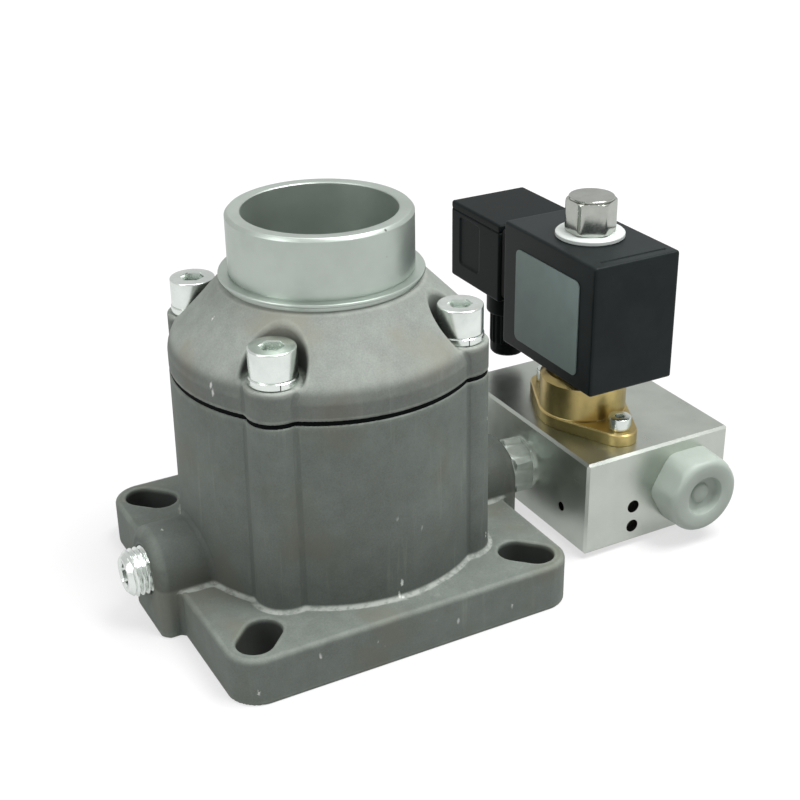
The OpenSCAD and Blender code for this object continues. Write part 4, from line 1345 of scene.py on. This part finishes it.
@dataclass
class ConnectorMoulding(Casting):
    """The connector housing with its lid line, its grip panels and the collar of the gland.

    Attributes:
        half: Half sizes along X, Y and Z.
        middle: Its middle along Y and Z.
        panel_at: Middle of the grip panels along Y and Z.
        panel_half: Their half sizes.
        panel_x: How far from the middle their floors lie.
        lid: Height, half width and depth of the lid's line.
        collar_r: Outer and inner radius of the collar.
        collar_z: Its foot, and where it ends in the housing.
        screw_hole: Radius and floor of the screw's hole.
    """

    low: tuple = (72.0, 22.0, 52.75)
    high: tuple = (100.0, 52.0, 89.75)
    step: float = 0.48
    limit: int = 60000
    half: tuple = (14.0, 15.0, 13.0)
    middle: tuple = (37.0, 76.75)
    panel_at: tuple = (40.4, 77.5)
    panel_half: tuple = (6.0, 8.0)
    panel_x: float = 13.55
    lid: tuple = (87.2, 0.16, 0.3)
    collar_r: tuple = (7.2, 4.8)
    collar_z: tuple = (52.75, 66.0)
    screw_hole: tuple = (3.4, 50.2)

    def field(self, x: Array, y: Array, z: Array) -> Array:
        """A box with soft edges, shallow panels on its sides, and the collar under it.

        Args:
            x: Places along X.
            y: Places along Y.
            z: Heights.

        Returns:
            Signed distance in millimetres, negative inside.
        """
        across, (middle_y, middle_z) = x - SOLENOID_X, self.middle
        half_x, half_y, half_z = self.half
        box = common(box_2d(across, y - middle_y, half_x, half_y, 0.9), np.abs(z - middle_z) - half_z, 0.8)
        panel_y, panel_z = self.panel_at
        panel = common(box_2d(y - panel_y, z - panel_z, *self.panel_half, 1.2), self.panel_x - np.abs(across), 0.2)
        box = cut(box, panel, 0.25)
        lid_z, lid_half, deep = self.lid
        lid = np.maximum(np.abs(z - lid_z) - lid_half, -box_2d(across, y - middle_y, half_x - deep, half_y - deep, 0.9))
        box = cut(box, lid, 0.1)
        around, (low, high) = np.hypot(across, y - CONNECTOR_Y), self.collar_z
        collar = common(around - self.collar_r[0], low - z, 0.9)
        solid = union(box, np.maximum(collar, z - high), 1.0)
        solid = np.maximum(solid, -np.maximum(around - self.collar_r[1], z - high))
        screw_r, screw_y = self.screw_hole
        return np.maximum(solid, -np.maximum(np.hypot(across, z - middle_z) - screw_r, screw_y - y))


@dataclass
class Solenoid:
    """Everything on the solenoid's axis above the brass base, and the connector beside it.

    Attributes:
        washer: Bore radius, outer radius and thickness of the washer.
        gland_z: Height of the gland's mouth.
        ribs: Number of the gland's ribs.
    """

    axis: tuple[float, float] = (SOLENOID_X, SOLENOID_Y)
    coil_top: float = 93.05
    washer: tuple = (5.2, 10.5, 1.5)
    nut_flats: float = 14.0
    gland_z: float = 37.75
    ribs: int = 18

    def build(self, resin: Material, connector: Material, chrome: Material, nylon: Material) -> None:
        """Makes the two mouldings, the washer, the nut and the gland nut.

        Args:
            resin: The coil's finish.
            connector: The finish of the connector and its gland.
            chrome: The nut's finish.
            nylon: The washer's finish.
        """
        CoilMoulding().cast(Part("coil_moulding", "coil_resin", ("coil",)), resin)
        ConnectorMoulding().cast(Part("connector_moulding", "coil_resin", ("connector_housing",)), connector)
        bore, rim, t = self.washer
        pairs = [(bore, 0.0), (rim - 0.3, 0.0), (rim, 0.3), (rim, t - 0.3), (rim - 0.3, t), (bore, t)]
        points, faces = polar(*profile(pairs, 96), closed=True)
        Part("white_washer", "nylon", ("coil_washer",)).make(towards(points, (*self.axis, self.coil_top)), faces, nylon)
        self.nut(chrome)
        self.gland(connector)

    def nut(self, material: Material) -> None:
        """A closed hexagon nut: radius = min(hexagon, a turned outline with a round foot and a conical crown).

        Args:
            material: Its finish.
        """
        hexa = hexagon(self.nut_flats, 144, soft=0.06)
        foot = [(np.minimum(hexa, 6.6 + 1.48 * math.sin(a)), 0.05 + 1.3 * (1 - math.cos(a)))
                for a in np.linspace(0, math.pi / 2, 6)]
        crown = [(np.minimum(hexa, 7.05 + 0.95 * math.cos(a)), 8.9 + 1.3 * math.sin(a))
                 for a in np.linspace(0, math.pi / 2, 6)]
        pairs = [(0, 0.05), (4.9, 0.05), *foot, *crown, (6.7, 10.22), (6.6, 10.32), (6.6, 10.4), (6.75, 10.47),
                 (6.85, 10.55), (6.85, 10.85), (6.7, 11.0), (0, 11.0)]
        points, faces = polar(*profile(pairs, 144))
        Part("coil_nut_plated", "chrome", ("coil_nut",)).make(
            towards(points, (*self.axis, self.coil_top + self.washer[2])), faces, material, 24.0)

    def gland(self, material: Material) -> None:
        """The gland nut below the collar: eighteen soft ribs, and a round mouth.

        Args:
            material: Its finish.
        """
        around = 144
        a = angles(around)
        ribs = 5.75 + 0.25 * np.tanh(3 * np.cos(self.ribs * a))
        pairs = [(4.0, 0.0), (4.4, -0.0), (5.2, 0.25), (5.7, 0.9), (5.8, 1.8), (5.8, 4.4), (ribs, 4.7), (ribs, 14.4),
                 (5.7, 15.0), (3.3, 15.0), (3.3, 2.2), (4.0, 2.0)]
        points, faces = polar(*profile(pairs, around), closed=True)
        Part("gland_nut_ribbed", "coil_resin", ("gland_nut",)).make(
            towards(points, (SOLENOID_X, CONNECTOR_Y, self.gland_z)), faces, material)


# ---------------------------------------------------------------- finishes of the CAD nodes


class Finish(Enum):
    """The finishes, one for each kind of surface."""

    GASKET = Plastic("gasket_sheet", (0.005, 0.006, 0.006), 0.75, shine=0.04)
    ZINC = Metal("bright_zinc", (0.80, 0.85, 0.81), 0.22, cloud=0.06, mark_depth=0.05)
    PLUG = Metal("bright_zinc_thread", (0.80, 0.84, 0.81), 0.22, cloud=0.05, mark_depth=0.05)
    TURNED = Metal("turned_aluminium", (0.60, 0.62, 0.60), 0.36, Lay.AROUND_Z)
    RUBBER = Plastic("black_rubber", (0.018, 0.018, 0.018), 0.7, grain_mm=0.4, shine=0.25)
    STEEL = Metal("ground_steel", (0.52, 0.53, 0.54), 0.26, Lay.AROUND_Z)
    SPRING = Metal("spring_wire", (0.34, 0.35, 0.36), 0.34)
    BRONZE = Metal("sintered_bronze", (0.42, 0.27, 0.12), 0.5, cloud=0.15)
    # The block's holes get painted shade, which also paints dark discs on its far faces.
    BLOCK = Metal("milled_block", (0.54, 0.575, 0.525), 0.33, Lay.ALONG_Y, cloud=0.03, mark_depth=0.02,
                  pits=(((85.7, -36.0, 6.95), 2.1, "y"), ((85.7, -36.0, 13.85), 2.1, "y"),
                        ((68.0, -22.8, 12.35), 1.5, "x")))
    CAP = Plastic("milky_cap", (0.46, 0.52, 0.465), 0.4, cloud=0.03, glow=0.3, shine=0.4)
    BRASS = Metal("turned_brass", (0.55, 0.43, 0.18), 0.32, Lay.AROUND_Z, cloud=0.12)
    RESIN = Plastic("black_resin", (0.010, 0.0145, 0.0150), 0.42, cloud=0.25, shine=0.17)
    CONNECTOR = Plastic("connector_resin", (0.0065, 0.0095, 0.0095), 0.46, cloud=0.25, shine=0.1)
    LABEL = Plastic("bare_label", (0.25, 0.325, 0.31), 0.4, cloud=0.08, shine=0.3)
    NYLON = Plastic("white_nylon", (0.78, 0.83, 0.80), 0.4, cloud=0.04)
    CHROME = Metal("bright_plating", (0.46, 0.48, 0.44), 0.16, cloud=0.08, mark_mm=0.8, mark_depth=0.03)
    NIPPLE = Metal("dull_zinc", (0.62, 0.69, 0.63), 0.5, cloud=0.12, mark_depth=0.12, metallic=0.6)


NODE_FINISH = {
    "cover_gasket": Finish.GASKET, "valve_disc": Finish.TURNED, "disc_seal": Finish.RUBBER,
    "valve_stem": Finish.STEEL, "stem_nuts": Finish.ZINC, "piston": Finish.TURNED, "piston_seal": Finish.RUBBER,
    "cylinder_cap": Finish.TURNED, "guide_bush": Finish.BRONZE,
    "retaining_ring": Finish.SPRING, "nipple_washers": Finish.ZINC, "manifold_block": Finish.BLOCK,
    "base_oring": Finish.RUBBER, "armature_tube": Finish.STEEL, "plunger": Finish.STEEL,
    "plunger_seal": Finish.RUBBER, "coil_label": Finish.LABEL,
    "connector_gasket": Finish.RUBBER, "connector_screw": Finish.ZINC, "gland_seal": Finish.RUBBER,
}


class Wardrobe:
    """Builds each finish once and hands it out."""

    def __init__(self) -> None:
        """Starts empty."""
        self.made: dict[str, Material] = {}

    def __getitem__(self, finish: Any) -> Material:
        """The material of a finish, built when it is first asked for.

        Args:
            finish: An Enum member, or a finish of its own.

        Returns:
            Its material.
        """
        kind = finish.value if isinstance(finish, Finish) else finish
        if kind.name not in self.made:
            self.made[kind.name] = kind.build()
        return self.made[kind.name]

    def dress_nodes(self) -> None:
        """Gives every CAD node that stays its finish."""
        for node, finish in NODE_FINISH.items():
            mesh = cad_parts[node].data
            mesh.materials.clear()
            mesh.materials.append(self[finish])


# ---------------------------------------------------------------- studio


@dataclass
class Studio:
    """The camera of the photograph, a pale floor and soft lamps."""

    eye: tuple = (-157.68, -339.94, 240.71)
    lens: float = 64.755
    azimuth: float = -28.119
    elevation: float = 26.288
    roll: float = -0.842

    def camera(self) -> None:
        """Places the camera: back, right and up from azimuth and elevation, then the roll."""
        az, el, roll = (math.radians(v) for v in (self.azimuth, self.elevation, self.roll))
        back = Vector((math.sin(az) * math.cos(el), -math.cos(az) * math.cos(el), math.sin(el)))
        right = (-back).cross(Vector((0, 0, 1))).normalized()
        up = right.cross(-back)
        side = math.cos(roll) * right + math.sin(roll) * up
        top = -math.sin(roll) * right + math.cos(roll) * up
        data = bpy.data.cameras.new("camera")
        data.sensor_width, data.lens, data.clip_start = 36.0, self.lens, 0.01
        thing = bpy.data.objects.new("camera", data)
        turn = Matrix((side, top, back)).transposed().to_4x4()
        thing.matrix_world = Matrix.Translation(Vector(self.eye) * MM) @ turn
        bpy.context.scene.collection.objects.link(thing)
        bpy.context.scene.camera = thing

    def floor(self) -> None:
        """A wide white floor that takes the shadow, a little brighter to the camera and in reflections."""
        half, z = 6.0, -0.00005
        mesh = bpy.data.meshes.new("floor")
        ring = ((-1, -1), (1, -1), (1, 1), (-1, 1))
        mesh.from_pydata([(half * u, half * v, z) for u, v in ring], [], [(0, 1, 2, 3)])
        thing = bpy.data.objects.new("floor", mesh)
        bpy.context.scene.collection.objects.link(thing)
        g = Graph("floor")
        g.finish(Base_Color=(0.35, 0.35, 0.35), Roughness=0.9, Specular_IOR_Level=0.0)
        path = g.tree.nodes.new("ShaderNodeLightPath")
        camera, glossy, through = (Link(g, path.outputs[f"Is {ray} Ray"])
                                   for ray in ("Camera", "Glossy", "Transmission"))
        x, y, _ = g.split(g.place())
        far = x.with_leg(y).above(0.25, 0.9)
        glow = g.add("ShaderNodeEmission", {}, {"Color": (1, 1, 1, 1), "Strength": (
            camera * (far * 0.35 + 0.62) + glossy.most(through) * 0.45)})
        both = g.add("ShaderNodeAddShader", {}, {0: g.shader.outputs[0], 1: glow})
        g.tree.links.new(both.socket, g.output.inputs[0])
        mesh.materials.append(g.material)

    def world(self) -> None:
        """Even grey light, brighter in reflections and white to the camera."""
        world = bpy.data.worlds.new("studio")
        world.use_nodes = True
        tree = world.node_tree
        path = tree.nodes.new("ShaderNodeLightPath")
        level = None
        for ray, strength in (("Is Diffuse Ray", 0.3), ("Is Glossy Ray", 0.66), ("Is Camera Ray", 1.0),
                              ("Is Transmission Ray", 1.0)):
            part = tree.nodes.new("ShaderNodeMath")
            part.operation = "MULTIPLY_ADD"
            tree.links.new(path.outputs[ray], part.inputs[0])
            part.inputs[1].default_value = strength
            part.inputs[2].default_value = 0.0
            if level is not None:
                tree.links.new(level, part.inputs[2])
            level = part.outputs[0]
        tree.links.new(level, tree.nodes["Background"].inputs["Strength"])
        tree.nodes["Background"].inputs["Color"].default_value = (1, 1, 1, 1)
        bpy.context.scene.world = world

    def lamp(self, name: str, at: tuple, size: tuple, power: float, aim: tuple = (0.02, 0.0, 0.05)) -> None:
        """One rectangular lamp that looks at a point.

        Args:
            name: Its name.
            at: Its place in metres.
            size: Its width and height in metres.
            power: Its power in watts.
            aim: The point that it looks at.
        """
        data = bpy.data.lights.new(name, "AREA")
        data.shape, data.size, data.size_y, data.energy = "RECTANGLE", size[0], size[1], power
        thing = bpy.data.objects.new(name, data)
        thing.location = at
        thing.rotation_euler = (Vector(aim) - Vector(at)).to_track_quat("-Z", "Y").to_euler()
        bpy.context.scene.collection.objects.link(thing)

    def build(self) -> None:
        """Makes the whole studio."""
        self.camera()
        self.floor()
        self.world()
        self.lamp("key", (0.4, -0.35, 1.25), (0.7, 0.7), 17.0)
        self.lamp("side", (-1.0, -0.15, 0.7), (0.4, 0.9), 4.2)
        self.lamp("top", (0.0, 0.3, 1.2), (0.8, 0.5), 2.5)
        bpy.context.scene.view_settings.view_transform = "Standard"


def main() -> None:
    """Builds the studio and every piece in order."""
    Studio().build()
    looks = Wardrobe()
    body = BlastedCasting("cast_body", (0.182, 0.207, 0.186), foot_z=14.5, slots=59.8,
                          clusters=((2, -44.5, 36), (5, -44.3, 22), (-2, -44.5, 19), (-8, -53, 6), (9, -53, 8.5),
                                    (-34, -53, 8.5), (32, -53, 9.5)))
    # The cover's colour is lighter than the body's, partly painted light: it stands in for the light on the cone, and
    # its rim is shaded back to the body's tone.
    cover = BlastedCasting("cast_cover", (0.295, 0.322, 0.293), pockets=80.4, streaks=0.2, rim=79.2,
                           clusters=((-39, -20, 82), (-40, -18, 74), (-43, -8, 73)))
    BodyCasting().cast(Part("cast_body", "cast_body", ("valve_body",)), looks[body])
    CoverCasting().cast(Part("cast_cover", "cast_cover", ("inlet_cover",)), looks[cover])
    Neck().build(looks[SatinNeck()])
    Fasteners().build(looks[Finish.ZINC], looks[Finish.PLUG])
    Manifold().build(looks[Finish.NIPPLE], looks[Finish.CAP], looks[Finish.BRASS])
    Solenoid().build(looks[Finish.RESIN], looks[Finish.CONNECTOR], looks[Finish.CHROME], looks[Finish.NYLON])
    for spring in SPRINGS:
        spring.build(looks[Finish.SPRING])
    looks.dress_nodes()


if __name__ == "__main__":
    main()
